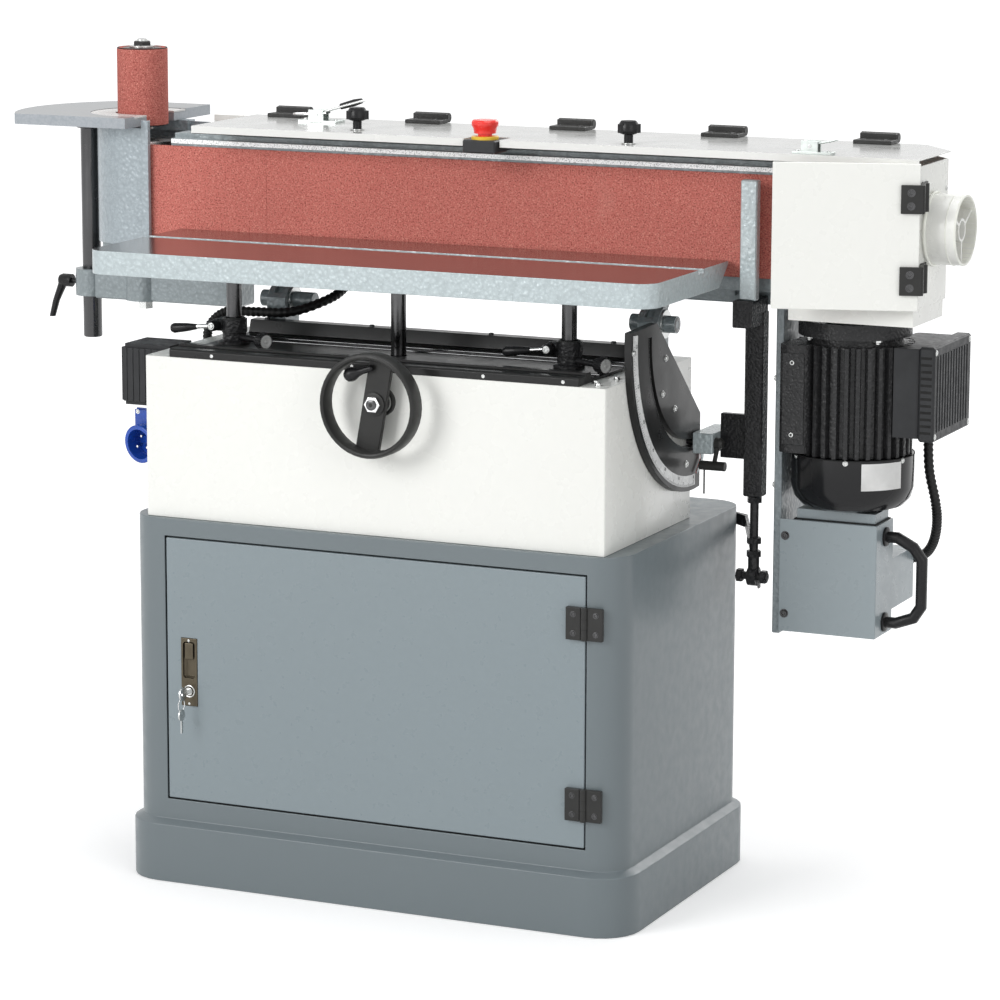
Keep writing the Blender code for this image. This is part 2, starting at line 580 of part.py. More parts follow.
def make_drum():
    z0, z1 = DRUM_Z0, DRUM_Z0 + DRUM_H
    profile = ((0.0, z0), (DRUM_R - 0.002, z0), (DRUM_R, z0 + 0.002), (DRUM_R, z1 - 0.002), (DRUM_R - 0.002, z1),
               (0.032, z1), (0.032, z1 - 0.002), (0.0, z1 - 0.002))
    bore = cylinder(IDLER_X, ROLLER_Y, SPINDLE_R + GAP, z0 - 0.01, z1 + 0.01, "Z", 36)
    part("sanding_drum", "abrasive", [lathe(profile, IDLER_X, ROLLER_Y, "Z", 36)], [bore], (IDLER_X, ROLLER_Y, z0))


def make_drive_roller():
    profile = ((0.0, 0.8725), (0.012, 0.8725), (0.012, ROLLER_Z0), (ROLLER_R, ROLLER_Z0), (ROLLER_R, ROLLER_Z1),
               (0.020, ROLLER_Z1), (0.020, ROLLER_Z1 + 0.008), (0.0, ROLLER_Z1 + 0.008))
    part("drive_roller", "rubber", [lathe(profile, DRIVE_X, ROLLER_Y, "Z", 40)], (), (DRIVE_X, ROLLER_Y, ROLLER_Z0))


def ribbon(path, thickness, low, high):
    """A sheet standing on a plan path, thickened towards its left."""
    left = []
    for i, (x, y) in enumerate(path):
        ax, ay = path[max(i - 1, 0)]
        bx, by = path[min(i + 1, len(path) - 1)]
        along = Vector((bx - ax, by - ay)).normalized()
        left.append((x - along.y * thickness, y + along.x * thickness))
    return prism(list(path) + left[::-1], low, high)


def make_idler_cover():
    r = ROLLER_R + 0.009
    path = [(-0.500, ROLLER_Y + r)] + arc(IDLER_X, ROLLER_Y, r, 90, 270, 18) + [(-0.532, ROLLER_Y - r)]
    edge = box(-0.5435, -0.5310, ROLLER_Y - r - 0.004, ROLLER_Y - r + 0.004, 0.900, 1.121, 0.0005)
    under = ROUND_TOP - ROUND_T - GAP
    block = box(-0.610, -0.535, ROLLER_Y + r - 0.012, ROLLER_Y + r + 0.012, 1.0935, under)
    part("idler_cover", "grey_paint", [ribbon(path, SHEET_T, 0.9240, 1.1085), edge, block])


def make_rear_guard():
    path = ((BOX_X0 - GAP, LID_Y1 - 0.0040), (-0.4975, LID_Y1 - 0.0040))
    sheet = ribbon(path, SHEET_T, 0.900, LID_TOP - LID_T - GAP)
    brace = box(-0.4700, 0.5050, 0.1895, LID_Y1 - 0.0030, 0.900, 0.912)
    part("rear_guard", "white_paint", [sheet, brace], [box(-0.48, 0.52, 0.18, 0.1904, 0.89, 0.92)])


def inset(outline, distance):
    """The outline, drawn anticlockwise, moved inwards."""
    made = []
    for i, (x, y) in enumerate(outline):
        before, after = Vector(outline[i - 1]), Vector(outline[(i + 1) % len(outline)])
        here = Vector((x, y))
        a, b = (here - before).normalized(), (after - here).normalized()
        normal = Vector((-a.y - b.y, a.x + b.x)).normalized()
        made.append(tuple(here + normal * distance / max(0.3, normal.dot(Vector((-a.y, a.x))))))
    return made


def box_outline(shrink=0.0):
    outline = ((BOX_X0, BOX_Y0), (BOX_X1, BOX_Y0), (BOX_X1, BOX_Y1 - CORNER_Y), (BOX_X1 - CORNER_X, BOX_Y1),
               (BOX_X0, BOX_Y1))
    return inset(outline, shrink) if shrink else outline


def make_drive_box():
    floor = BOX_Z0 + SHEET_T
    shell = prism(box_outline(), BOX_Z0, BOX_Z1)
    tray = prism(box_outline(0.0035), BOX_Z0 - 0.026, BOX_Z0 + 0.001)
    port = cylinder(PORT_Y, PORT_Z, PORT_R, BOX_X1 - 0.001, PORT_X1, "X", 32)
    ring = cylinder(PORT_Y, PORT_Z, 0.017, BOX_X1 + 0.008, PORT_X1 - 0.006, "X", 20)
    web = box(BOX_X1 + 0.008, PORT_X1 - 0.006, PORT_Y - 0.002, PORT_Y + 0.002, PORT_Z - PORT_R + 0.001, PORT_Z)
    webs = []
    for turn in (0, 120, 240):
        spin = Matrix.Rotation(math.radians(turn), 4, "X")
        webs.append(moved(web.copy(), Matrix.Translation((0, PORT_Y, PORT_Z)) @ spin
                          @ Matrix.Translation((0, -PORT_Y, -PORT_Z))))
    web.free()
    cavity = prism(box_outline(SHEET_T), floor, BOX_Z1 + 0.02)
    doorway = box(BOX_X0 + SHEET_T, BOX_X1 - SHEET_T, BOX_Y0 - 0.02, BOX_Y0 + 0.02, floor, BOX_Z1 + 0.02)
    entry = box(BOX_X0 - 0.02, BOX_X0 + 0.02, 0.050, 0.214, floor, BOX_Z1 + 0.02)
    under = prism(box_outline(0.0035 + SHEET_T), BOX_Z0 - 0.05, BOX_Z0)
    left = box(BOX_X0 - 0.01, BOX_X0 + 0.02, 0.078, 0.200, BOX_Z0 - 0.05, BOX_Z0 - 0.0001)
    bore = cylinder(PORT_Y, PORT_Z, PORT_R - 0.003, BOX_X1 - 0.02, PORT_X1 + 0.01, "X", 32)
    eye = cylinder(PORT_Y, PORT_Z, 0.0135, BOX_X1, PORT_X1 + 0.01, "X", 20)
    hole = cylinder(DRIVE_X, ROLLER_Y, 0.022, 0.87, 0.93, "Z", 24)
    obj = part("drive_box", "white_paint", [shell, tray, port], [cavity, doorway, entry, under, left, bore, hole])
    combine(obj, "UNION", [ring, *webs])
    combine(obj, "DIFFERENCE", [eye])


def ajar(bm):
    """Turns a shape drawn for the closed drive door to where the door stands at rest."""
    x, y = DRIVE_HINGE
    spin = Matrix.Rotation(math.radians(DOOR_AJAR), 4, "Z")
    return moved(bm, Matrix.Translation((x, y, 0)) @ spin @ Matrix.Translation((-x, -y, 0)))


def make_drive_door():
    x0, x1, y0, low = BOX_X0 - 0.0115, BOX_X1 + 0.0015, LID_Y0 - 0.004, BOX_Z0 + 0.001
    top = LID_TOP - LID_LIP - 0.0015
    panel = box(x0, x1, y0, BOX_Y0 - 0.0015, low, top, 0.0008)
    face = box(x0, x1, y0, y0 + SHEET_T, low, LID_TOP - 0.005, 0.0008)
    pan = box(x0 + SHEET_T, x1 - SHEET_T, y0 + SHEET_T, BOX_Y0 + 0.01, low + SHEET_T, top - SHEET_T)
    x, y = DRIVE_HINGE
    adds = [panel, face]
    for z in (0.930, 1.047):
        adds.append(box(x1 - 0.026, x1 + 0.004, y0 - 0.005, y0 + 0.001, z, z + 0.040, 0.001))
        adds.append(box(x1 + 0.0005, x1 + 0.0065, y0 - 0.004, y + 0.001, z, z + 0.040, 0.001))
        adds.append(cylinder(x, y, 0.0052, z, z + 0.040, "Z", 14))
    part("drive_door", "white_paint", [ajar(bm) for bm in adds], [ajar(pan)], (x, y, low))


def lid_outline(shrink=0.0):
    outline = ((LID_X0, LID_Y0), (LID_X1, LID_Y0), (LID_X1, LID_Y1 - 0.070), (LID_X1 - 0.060, LID_Y1),
               (LID_X0, LID_Y1))
    return inset(outline, shrink) if shrink else outline


def make_lid():
    sheet = prism(lid_outline(), LID_TOP - LID_T, LID_TOP)
    lip = box(LID_X0, LID_X1, LID_Y0, LID_Y0 + LID_T, LID_TOP - LID_LIP, LID_TOP - 0.0005)
    adds = [sheet, lip]
    x, y, z = 0.125, LID_Y1 + 0.006, LID_TOP + 0.0075
    for hinge in LID_HINGE_XS:
        adds.append(box(hinge - 0.029, hinge + 0.029, LID_Y1 - 0.032, LID_Y1, LID_TOP - 0.0005, LID_TOP + 0.0055, 0.001))
        adds.append(cylinder(y, z, 0.0072, hinge - 0.029, hinge + 0.029, "X", 14))
        adds.append(box(hinge - 0.028, hinge + 0.028, LID_Y1 - 0.004, y, LID_TOP + 0.0005, LID_TOP + 0.0135))
    adds += latch_foot(TENSION_X, TENSION_Y, 0.033, 0.016) + latch_foot(BOX_LATCH_X, BOX_LATCH_Y, 0.030, 0.0095)
    notch = box(0.0365, 0.0955, LID_Y0 - 0.02, 0.0465, LID_TOP - 0.03, LID_TOP + 0.01)
    part("lid", "white_paint", adds, [notch], (x, y, z))


def make_lid_knob(name, x, y):
    z = LID_TOP + GAP
    profile = ((0.0, z), (0.0068, z), (0.0068, z + 0.013), (0.0125, z + 0.015), (0.0155, z + 0.019), (0.0155, z + 0.027),
               (0.0125, z + 0.0325), (0.0, z + 0.0335))
    lobes = [cylinder(x + 0.0138 * math.cos(t), y + 0.0138 * math.sin(t), 0.0054, z + 0.0165, z + 0.0295, "Z", 10)
             for t in (0.0, math.tau / 3, 2 * math.tau / 3)]
    part(name, "black_plastic", [lathe(profile, x, y, "Z", 20), *lobes], (), (x, y, z))


def latch_foot(x, y, length, half):
    """A latch's plate on the lid and the two cheeks that hold its lever's pin."""
    z = LID_TOP
    plate = box(x - length * 0.85, x + length * 1.1, y - half, y + half, z - 0.0005, z + 0.0032, 0.0004)
    inner = half * 0.52 + 0.0002
    cheeks = [box(x - 0.013, x + 0.012, y + side - 0.0011, y + side + 0.0011, z + 0.002, z + PIN_H + 0.0075, 0.0005)
              for side in (-inner - 0.0012, inner + 0.0012)]
    return [plate, *cheeks]


def tipped(bm, x, z, degrees):
    spin = Matrix.Rotation(math.radians(degrees), 4, "Y")
    return moved(bm, Matrix.Translation((x, 0, z)) @ spin @ Matrix.Translation((-x, 0, -z)))


def make_latch_lever(name, x, y, half, reach, tip):
    """A latch's lever on its pin between the foot's two cheeks; its tip stands up by some degrees."""
    z = LID_TOP + PIN_H
    hub = cylinder(x, z, 0.0050, y - half, y + half, "Y", 16)
    neck = box(x, x + 0.022, y - half, y + half, z, z + 0.0035, 0.0005)
    blade = box(x + 0.016, x + reach, y - half - 0.0025, y + half + 0.0025, z, z + 0.0035, 0.001)
    adds = [hub, tipped(neck, x, z, -tip), tipped(blade, x, z, -tip)]
    part(name, "zinc", adds, (), (x, y, z))





def make_estop():
    z = 1.1020 + GAP
    body = box(0.0395, 0.0925, -0.006, 0.0435, z, z + 0.0195, 0.002)
    shelf = box(0.0480, 0.0840, 0.030, 0.123, z, z + 0.004)
    ring = cylinder(0.066, 0.018, 0.0205, z + 0.019, z + 0.0235, "Z", 28)
    bore = cylinder(0.066, 0.018, 0.0113, z + 0.006, z + 0.03, "Z", 24)
    part("estop_housing", "black_plastic", [body, shelf, ring], [bore])
    cap = lathe(((0.0, z + 0.0120), (0.0108, z + 0.0120), (0.0108, z + 0.0285), (0.0165, z + 0.0285), (0.0175, z + 0.036),
                 (0.0200, z + 0.040), (0.0200, z + 0.046), (0.0180, z + 0.0485), (0.0, z + 0.0490)), 0.066, 0.018, "Z", 28)
    part("estop_button", "red_plastic", [cap], (), (0.066, 0.018, z + 0.019))


# ---------------------------------------------------------------- round table

def make_round_table():
    front = math.degrees(math.asin((ROUND_Y0 - ROLLER_Y) / ROUND_R))
    back = math.degrees(math.asin((ROUND_Y1 - ROLLER_Y) / ROUND_R))
    outline = arc(IDLER_X, ROLLER_Y, ROUND_R, 180 - back, 180 - front, 30) + [(ROUND_X1, ROUND_Y0), (ROUND_X1, ROUND_Y1)]
    bite = arc(IDLER_X, ROLLER_Y, 0.044, 90, 270, 20) + [(-0.50, ROLLER_Y - 0.044), (-0.50, ROLLER_Y + 0.044)]
    rim = INSERT_R + 0.0005
    ring = arc(IDLER_X, ROLLER_Y, rim, 90, 270, 26) + [(-0.50, ROLLER_Y - rim), (-0.50, ROLLER_Y + rim)]
    low = ROUND_TOP - ROUND_T
    part("round_table", "grey_paint", [prism(outline, low, ROUND_TOP)],
         [prism(bite, low - 0.01, ROUND_TOP + 0.01), prism(ring, ROUND_TOP - 0.004, ROUND_TOP + 0.01)])


def make_table_insert():
    low = ROUND_TOP - 0.004 + GAP
    x1 = ROUND_X1
    outer = arc(IDLER_X, ROLLER_Y, INSERT_R, 90, 270, 26) + [(x1, ROLLER_Y - INSERT_R), (x1, ROLLER_Y + INSERT_R)]
    bite = arc(IDLER_X, ROLLER_Y, 0.0435, 90, 270, 20) + [(-0.50, ROLLER_Y - 0.0435), (-0.50, ROLLER_Y + 0.0435)]
    part("table_insert", "white_paint", [prism(outer, low, ROUND_TOP - 0.0006)],
         [prism(bite, low - 0.01, ROUND_TOP + 0.01)])


def make_round_post():
    top = ROUND_TOP - ROUND_T - GAP
    profile = ((0.0, 0.762), (ROUND_POST_R - 0.001, 0.762), (ROUND_POST_R, 0.764), (ROUND_POST_R, top - 0.013),
               (0.021, top - 0.012), (0.021, top), (0.0, top))
    part("round_post", "black_steel", [lathe(profile, ROUND_POST_X, ROUND_POST_Y, "Z", 28)])


def make_round_lever():
    x, y, z = ROUND_POST_X - 0.0268, ROUND_POST_Y, 0.8500
    screw = cylinder(y, z, 0.0045, x - 0.012, x, "X", 12)
    hub = lathe(((0.0, x - 0.032), (0.0085, x - 0.032), (0.0105, x - 0.027), (0.0105, x - 0.010), (0.0, x - 0.010)),
                y, z, "X", 16)
    arm = loft([(circle(x - 0.048, y, 0.0050, 12), z - 0.060), (circle(x - 0.0405, y, 0.0058, 12), z - 0.034),
                (circle(x - 0.027, y, 0.0078, 12), z - 0.004)])
    part("round_lever", "black_plastic", [hub, screw, arm], (), (x - 0.010, y, z))


# ---------------------------------------------------------------- drive end

def make_mount_plate():
    plate = box(PLATE_X0, PLATE_X1, PLATE_Y0, PLATE_Y1, 0.3975, 0.8965, 0.001)
    shelf = box(PLATE_X1 - 0.002, 0.700, 0.085, 0.180, 0.8840, 0.8965, 0.001)
    hole = cylinder(DRIVE_X, ROLLER_Y, 0.020, 0.87, 0.93, "Z", 24)
    part("mount_plate", "grey_paint", [plate, shelf], [hole], (PLATE_X0, TILT_Y, TILT_Z))


def make_motor():
    x, y = DRIVE_X, ROLLER_Y
    fins = []
    for i in range(32):
        t = math.tau * i / 32
        for turn, r in ((-0.062, MOTOR_R - 0.009), (-0.034, MOTOR_R), (0.034, MOTOR_R), (0.062, MOTOR_R - 0.009)):
            fins.append((x + r * math.cos(t + turn), y + r * math.sin(t + turn)))
    body = prism(fins, 0.674, 0.838)
    neck = cylinder(x, y, 0.071, 0.673, 0.850, "Z", 32)
    flange = cylinder(x, y, 0.084, 0.849, 0.872, "Z", 36)
    spigot = cylinder(x, y, 0.045, 0.870, 0.8837, "Z", 24)
    bore = cylinder(x, y, 0.0135, 0.868, 0.90, "Z", 20)
    capacitor = prism(rounded(PLATE_X1 + 0.003, 0.572, 0.052, 0.112, 0.014, 3), 0.678, 0.838)
    part("motor_body", "black_paint", [body, neck, flange, spigot, capacitor], [bore])


def make_motor_cowl():
    profile = ((0.0, 0.590), (0.055, 0.590), (0.076, 0.596), (0.087, 0.608), (COWL_R, 0.624), (COWL_R, 0.6727),
               (0.0, 0.6727))
    part("motor_cowl", "black_paint", [lathe(profile, DRIVE_X, ROLLER_Y, "Z", 40)])


def make_terminal_box():
    base = prism(rounded(0.668, 0.730, 0.090, 0.255, 0.008, 3), 0.706, 0.838)
    cover = box(0.728, 0.752, 0.086, 0.259, 0.702, 0.842, 0.003)
    saddle = cylinder(DRIVE_X, ROLLER_Y, MOTOR_R + 0.0008, 0.60, 0.90, "Z", 40)
    part("terminal_box", "black_plastic", [base, cover], [saddle])


def make_motor_conduit():
    points = smooth_path(((0.706, 0.205, 0.7056), (0.706, 0.205, 0.690), (0.708, 0.207, 0.640), (0.717, 0.212, 0.592),
                          (0.717, 0.222, 0.560), (0.708, 0.238, 0.528), (0.692, 0.256, 0.505), (0.672, 0.2705, 0.493),
                          (0.655, 0.268, 0.488), (0.652, 0.2567, 0.488)), 4)
    part("motor_conduit", "rubber", [pipe(points, 0.0078, 10)])


def make_counterweight():
    body = box(0.537, 0.671, 0.0800, 0.156, 0.403, 0.573, 0.001)
    front = box(PLATE_X1 + GAP, 0.540, 0.0800, 0.083, 0.403, 0.573)
    rim = box(0.543, 0.665, 0.0900, 0.150, 0.570, 0.5885)
    back = box(0.560, 0.671, 0.154, 0.255, 0.434, 0.512, 0.001)
    part("counterweight_box", "grey_paint", [body, front, rim, back])


def make_pull_handle():
    y = 0.120
    path = ((0.6713, y, 0.551), (0.690, y, 0.551), (0.715, y, 0.538), (0.7285, y, 0.520), (0.7285, y, 0.450),
            (0.717, y, 0.432), (0.690, y, 0.422), (0.6713, y, 0.422))
    part("pull_handle", "black_plastic", [pipe(path, 0.0085, 12)])


def make_tilt_arm():
    x, y = 0.4755, 0.0895
    block = box(0.4585, 0.4890, 0.030, 0.0997, 0.861, 0.9012, 0.0015)
    tube = box(0.4610, 0.4900, 0.077, 0.102, 0.602, 0.880, 0.002)
    rod = cylinder(x, y, 0.0065, 0.500, 0.610, "Z", 14)
    nuts = [cylinder(x, y, 0.0115, low, low + 0.009, "Z", 6) for low in (0.592, 0.530, 0.510)]
    shank = cylinder(x, y, 0.0085, 0.486, 0.512, "Z", 14)
    eye = cylinder(y, 0.480, 0.0145, x - 0.007, x + 0.007, "X", 20)
    bolt = cylinder(y, 0.480, 0.0060, 0.450, 0.498, "X", 14)
    heads = [cylinder(y, 0.480, 0.0105, low, low + 0.008, "X", 6) for low in (0.450, 0.488)]
    lug = box(POINTER_X1 + GAP, 0.4660, 0.094, 0.106, 0.655, 0.722, 0.001)
    part("tilt_arm", "black_steel", [tube, block, rod, *nuts, shank, eye, bolt, *heads, lug], (),
         (0.4755, TILT_Y, TILT_Z))


def make_stop_bar():
    part("stop_bar", "hammertone", [box(0.4665, 0.4925, 0.036, 0.052, 0.9015, 1.078, 0.002)])


def make_pointer_arm():
    z = TILT_Z - SLOT_R
    arm = box(POINTER_X0, POINTER_X1, 0.062, 0.150, z - 0.015, z + 0.016, 0.001)
    pointer = prism(((0.0930, z - 0.013), (0.1080, z - 0.013), (0.1045, z - 0.029), (0.0810, z - 0.0485),
                     (0.0790, z - 0.0455), (0.0965, z - 0.028)), POINTER_X0 - 0.0003, POINTER_X0 + 0.0015, "X")
    bore = cylinder(TILT_Y, z, 0.0043, POINTER_X0 - 0.01, POINTER_X1 + 0.01, "X", 16)
    part("pointer_arm", "grey_paint", [arm, pointer], [bore])


def make_tilt_lock():
    y, z, x = TILT_Y, TILT_Z - SLOT_R, POINTER_X1 + GAP
    start = CONSOLE_X1 + 0.0010
    pin = lathe(((0.0, start), (0.0040, start), (0.0040, x), (0.0090, x), (0.0090, x + 0.008), (0.0060, x + 0.012),
                 (0.0, x + 0.012)), y, z, "X", 16)
    web = pipe(((x + 0.004, y - 0.002, z - 0.004), (x + 0.004, y - 0.016, z - 0.030)), 0.0035, 10)
    knob = cylinder(y - 0.0165, z - 0.031, 0.0070, 0.400, 0.440, "X", 18)
    tail = cylinder(0.4067, y - 0.0165, 0.0014, z - 0.074, z - 0.034, "Z", 8)
    part("tilt_lock", "black_plastic", [pin, web, knob, tail], (), (x, y, z))


# ---------------------------------------------------------------- build

def build():
    make_cabinet()
    make_cabinet_door()
    make_latch()
    make_latch_key()
    make_door_hinge("door_hinge_upper", 0.439, 0.487)
    make_door_hinge("door_hinge_lower", 0.171, 0.219)
    make_console()
    make_saddle()
    make_quadrant()
    make_trunnion("trunnion_left", -0.301)
    make_trunnion("trunnion_right", 0.318)
    make_post_clamp("post_clamp_left", POST_X[0])
    make_post_clamp("post_clamp_right", POST_X[2])
    make_clamp_lever("clamp_lever_left", POST_X[0])
    make_clamp_lever("clamp_lever_right", POST_X[2])
    make_clamp_knob("clamp_knob_left", POST_X[0])
    make_clamp_knob("clamp_knob_right", POST_X[2])
    make_stop_bracket()
    make_switch_box()
    make_button("start_button", "green_plastic", START_Z, 0.001)
    make_button("stop_button", "red_plastic", STOP_Z, 0.004)
    make_power_inlet()
    make_cable_conduit()
    make_table()
    make_post("post_left", POST_X[0])
    make_post("post_middle", POST_X[1])
    make_post("post_right", POST_X[2])
    make_handwheel()
    make_wheel_grip()
    make_head_frame()
    make_belt()
    make_idler()
    make_drum()
    make_drive_roller()
    make_idler_cover()
    make_rear_guard()
    make_drive_box()
    make_drive_door()
    make_lid()
    make_lid_knob("lid_knob_left", -0.166, 0.058)
    make_lid_knob("lid_knob_right", 0.288, 0.040)
    make_latch_lever("tension_lever", TENSION_X, TENSION_Y, 0.0078, 0.0800, 16)
    make_latch_lever("box_latch", BOX_LATCH_X, BOX_LATCH_Y, 0.0052, 0.0400, 12)
    make_estop()
    make_round_table()
    make_table_insert()
    make_round_post()
    make_round_lever()
    make_mount_plate()
    make_motor()
    make_motor_cowl()
    make_terminal_box()
    make_motor_conduit()
    make_counterweight()
    make_pull_handle()
    make_tilt_arm()
    make_stop_bar()
    make_pointer_arm()
    make_tilt_lock()


clear_scene()
PARTS = new_collection(OBJECT_NAME)
CUTTERS = new_collection("cutters")
CUTTERS.hide_render = True
build()
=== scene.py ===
"""Looks of the edge sander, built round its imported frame. Metres, +Z up, +Y away from the operator."""

import math

import bmesh
import bpy
from mathutils import Matrix, Vector


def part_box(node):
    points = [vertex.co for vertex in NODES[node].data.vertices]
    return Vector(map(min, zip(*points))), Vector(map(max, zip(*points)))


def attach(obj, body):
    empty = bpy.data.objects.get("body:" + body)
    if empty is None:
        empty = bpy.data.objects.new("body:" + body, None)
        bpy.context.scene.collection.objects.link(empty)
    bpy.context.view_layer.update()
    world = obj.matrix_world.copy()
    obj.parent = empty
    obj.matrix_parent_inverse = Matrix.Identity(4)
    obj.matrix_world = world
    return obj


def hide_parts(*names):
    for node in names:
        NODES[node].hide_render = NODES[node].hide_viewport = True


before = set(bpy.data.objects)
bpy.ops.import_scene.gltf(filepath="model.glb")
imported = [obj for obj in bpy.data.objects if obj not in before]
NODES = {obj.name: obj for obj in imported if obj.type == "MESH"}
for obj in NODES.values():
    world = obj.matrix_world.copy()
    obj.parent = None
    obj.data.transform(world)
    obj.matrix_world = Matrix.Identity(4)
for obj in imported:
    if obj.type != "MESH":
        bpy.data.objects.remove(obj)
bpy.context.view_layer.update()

TAU = math.tau
FINE = (0.0001, 1)  # the width and the segments of the softened edges of a small piece
BLACK_STEEL = ("post_steel", "black_steel")  # the look and the slot of a dark screw
TO_FRONT, TO_LEFT, TO_RIGHT = (0, -1, 0), (-1, 0, 0), (1, 0, 0)
UP, DOWN = (0, 0, 1), (0, 0, -1)

# GREY is kept dark to match the cabinet's shaded sides: painted shade on the whole cabinet
GREY = (0.140, 0.168, 0.180)
# HAMMER is the lightest copy of one hammertone finish, set to the table's lit front: painted light
HAMMER = (0.480, 0.545, 0.560)
WHITE = (0.83, 0.833, 0.795)
BLACK = (0.016, 0.016, 0.017)
ABRASIVE = (0.560, 0.168, 0.138)


# ---------------------------------------- materials

RANGE = ("From Min", "From Max", "To Min", "To Max")


def scaled(colour, factor):
    return tuple(min(1.0, c * factor) for c in colour)


class Surface:
    """A Principled material whose colour, roughness and bump come from layered textures in object space."""

    def __init__(self, name, colour, roughness, metallic=0.0):
        self.made = bpy.data.materials.new(name)
        self.made.use_nodes = True
        self.tree = self.made.node_tree
        self.shader = self.tree.nodes["Principled BSDF"]
        self.shader.inputs["Metallic"].default_value = metallic
        self.shader.inputs["Roughness"].default_value = roughness
        self.shader.inputs["Base Color"].default_value = (*colour, 1.0)
        self.colour = None
        self.base = colour
        self.normal = None
        self.place = self.node("ShaderNodeTexCoord").outputs["Object"]

    def node(self, kind, **values):
        made = self.tree.nodes.new(kind)
        for key, value in values.items():
            setattr(made, key, value)
        return made

    def link(self, a, b):
        self.tree.links.new(a, b)

    def mapped(self, stretch):
        mapping = self.node("ShaderNodeMapping")
        mapping.inputs["Scale"].default_value = stretch
        self.link(self.place, mapping.inputs["Vector"])
        return mapping.outputs["Vector"]

    def noise(self, scale, detail=3.0, stretch=None, rough=0.5):
        made = self.node("ShaderNodeTexNoise")
        made.inputs["Scale"].default_value = scale
        made.inputs["Detail"].default_value = detail
        made.inputs["Roughness"].default_value = rough
        self.link(self.mapped(stretch) if stretch else self.place, made.inputs["Vector"])
        return made.outputs["Fac"]

    def cells(self, scale):
        made = self.node("ShaderNodeTexVoronoi", feature="SMOOTH_F1")
        made.inputs["Scale"].default_value = scale
        self.link(self.place, made.inputs["Vector"])
        return made.outputs["Distance"]

    def spread(self, value, low, high, to_low=0.0, to_high=1.0):
        made = self.node("ShaderNodeMapRange")
        for key, number in zip(RANGE, (low, high, to_low, to_high)):
            made.inputs[key].default_value = number
        self.link(value, made.inputs["Value"])
        return made.outputs["Result"]

    def facing_up(self):
        """1 where the surface faces up the object's Z, 0 elsewhere."""
        split = self.node("ShaderNodeSeparateXYZ")
        self.link(self.node("ShaderNodeTexCoord").outputs["Normal"], split.inputs[0])
        return self.spread(split.outputs["Z"], 0.80, 0.95)

    def times(self, a, b):
        made = self.node("ShaderNodeMath", operation="MULTIPLY")
        self.link(a, made.inputs[0])
        self.link(b, made.inputs[1])
        return made.outputs[0]

    def paint(self, amount, colour):
        """Lays a colour over the colour so far, by an amount that varies over the surface."""
        made = self.node("ShaderNodeMix", data_type="RGBA")
        self.link(amount, made.inputs["Factor"])
        if self.colour is None:
            made.inputs["A"].default_value = (*self.base, 1.0)
        else:
            self.link(self.colour, made.inputs["A"])
        made.inputs["B"].default_value = (*colour, 1.0)
        self.colour = made.outputs["Result"]
        self.link(self.colour, self.shader.inputs["Base Color"])
        return self

    def vary(self, scale, share, detail=3.0):
        """Drifts the colour lighter and darker."""
        fac = self.noise(scale, detail)
        self.paint(self.spread(fac, 0.50, 0.72), scaled(self.base, 1 + share))
        return self.paint(self.spread(fac, 0.50, 0.28), scaled(self.base, 1 - share))

    def rough(self, value, low, high, to_low, to_high):
        self.link(self.spread(value, low, high, to_low, to_high), self.shader.inputs["Roughness"])
        return self

    def bump(self, value, distance, strength=1.0):
        made = self.node("ShaderNodeBump")
        made.inputs["Distance"].default_value = distance
        made.inputs["Strength"].default_value = strength
        self.link(value, made.inputs["Height"])
        if self.normal is not None:
            self.link(self.normal, made.inputs["Normal"])
        self.normal = made.outputs["Normal"]
        self.link(self.normal, self.shader.inputs["Normal"])
        return self

    def duller(self, colour):
        """Black finishes mirror less of a white room than their index of refraction would."""
        if max(colour) < 0.05:
            self.shader.inputs["Specular IOR Level"].default_value = 0.22
        return self

    def coat(self, weight, roughness):
        self.shader.inputs["Coat Weight"].default_value = weight
        self.shader.inputs["Coat Roughness"].default_value = roughness
        return self


def powder_coat(name, colour, roughness=0.36):
    s = Surface(name, colour, roughness).vary(1.6, 0.025, 1.0).coat(0.12, 0.20)
    s.rough(s.noise(60.0, 4.0), 0.3, 0.7, roughness - 0.05, roughness + 0.08)
    return s.bump(s.noise(520.0, 2.0), 0.00010, 0.5).bump(s.noise(9.0, 1.0), 0.0006, 0.25)


def hammer_marks(s, colour):
    cells = s.cells(170.0)
    s.paint(s.spread(cells, 0.15, 0.75), scaled(colour, 0.84))
    s.paint(s.spread(s.noise(330.0, 3.0), 0.54, 0.76), scaled(colour, 1.16))
    return cells


def hammered(name, colour, roughness=0.30):
    s = Surface(name, colour, roughness, 0.15).coat(0.35, 0.12)
    cells = hammer_marks(s, colour)
    s.rough(cells, 0.0, 0.8, roughness - 0.08, roughness + 0.12)
    return s.bump(cells, 0.0016, 0.7).bump(s.noise(700.0, 2.0), 0.0001, 0.4)


def smooth_paint(name, colour, roughness=0.22):
    s = Surface(name, colour, roughness).vary(1.1, 0.006, 0.0).coat(0.12, 0.10).duller(colour)
    s.rough(s.noise(24.0, 4.0), 0.3, 0.7, roughness - 0.04, roughness + 0.08)
    return s.bump(s.noise(240.0, 2.0), 0.00012, 0.35)


def moulded(name, colour, roughness=0.42, texture=900.0):
    s = Surface(name, colour, roughness).vary(30.0, 0.12).duller(colour)
    s.rough(s.noise(90.0, 4.0), 0.3, 0.7, roughness - 0.08, roughness + 0.1)
    return s.bump(s.noise(texture, 2.0), 0.00012, 0.6)


def cast_black(name, colour=BLACK, roughness=0.30):
    s = Surface(name, colour, roughness).coat(0.08, 0.12).duller(colour)
    cells = s.cells(260.0)
    s.paint(s.spread(cells, 0.42, 0.12), scaled(colour, 1.8))
    s.rough(cells, 0.1, 0.8, roughness - 0.08, roughness + 0.15)
    return s.bump(cells, 0.0014, 0.8)


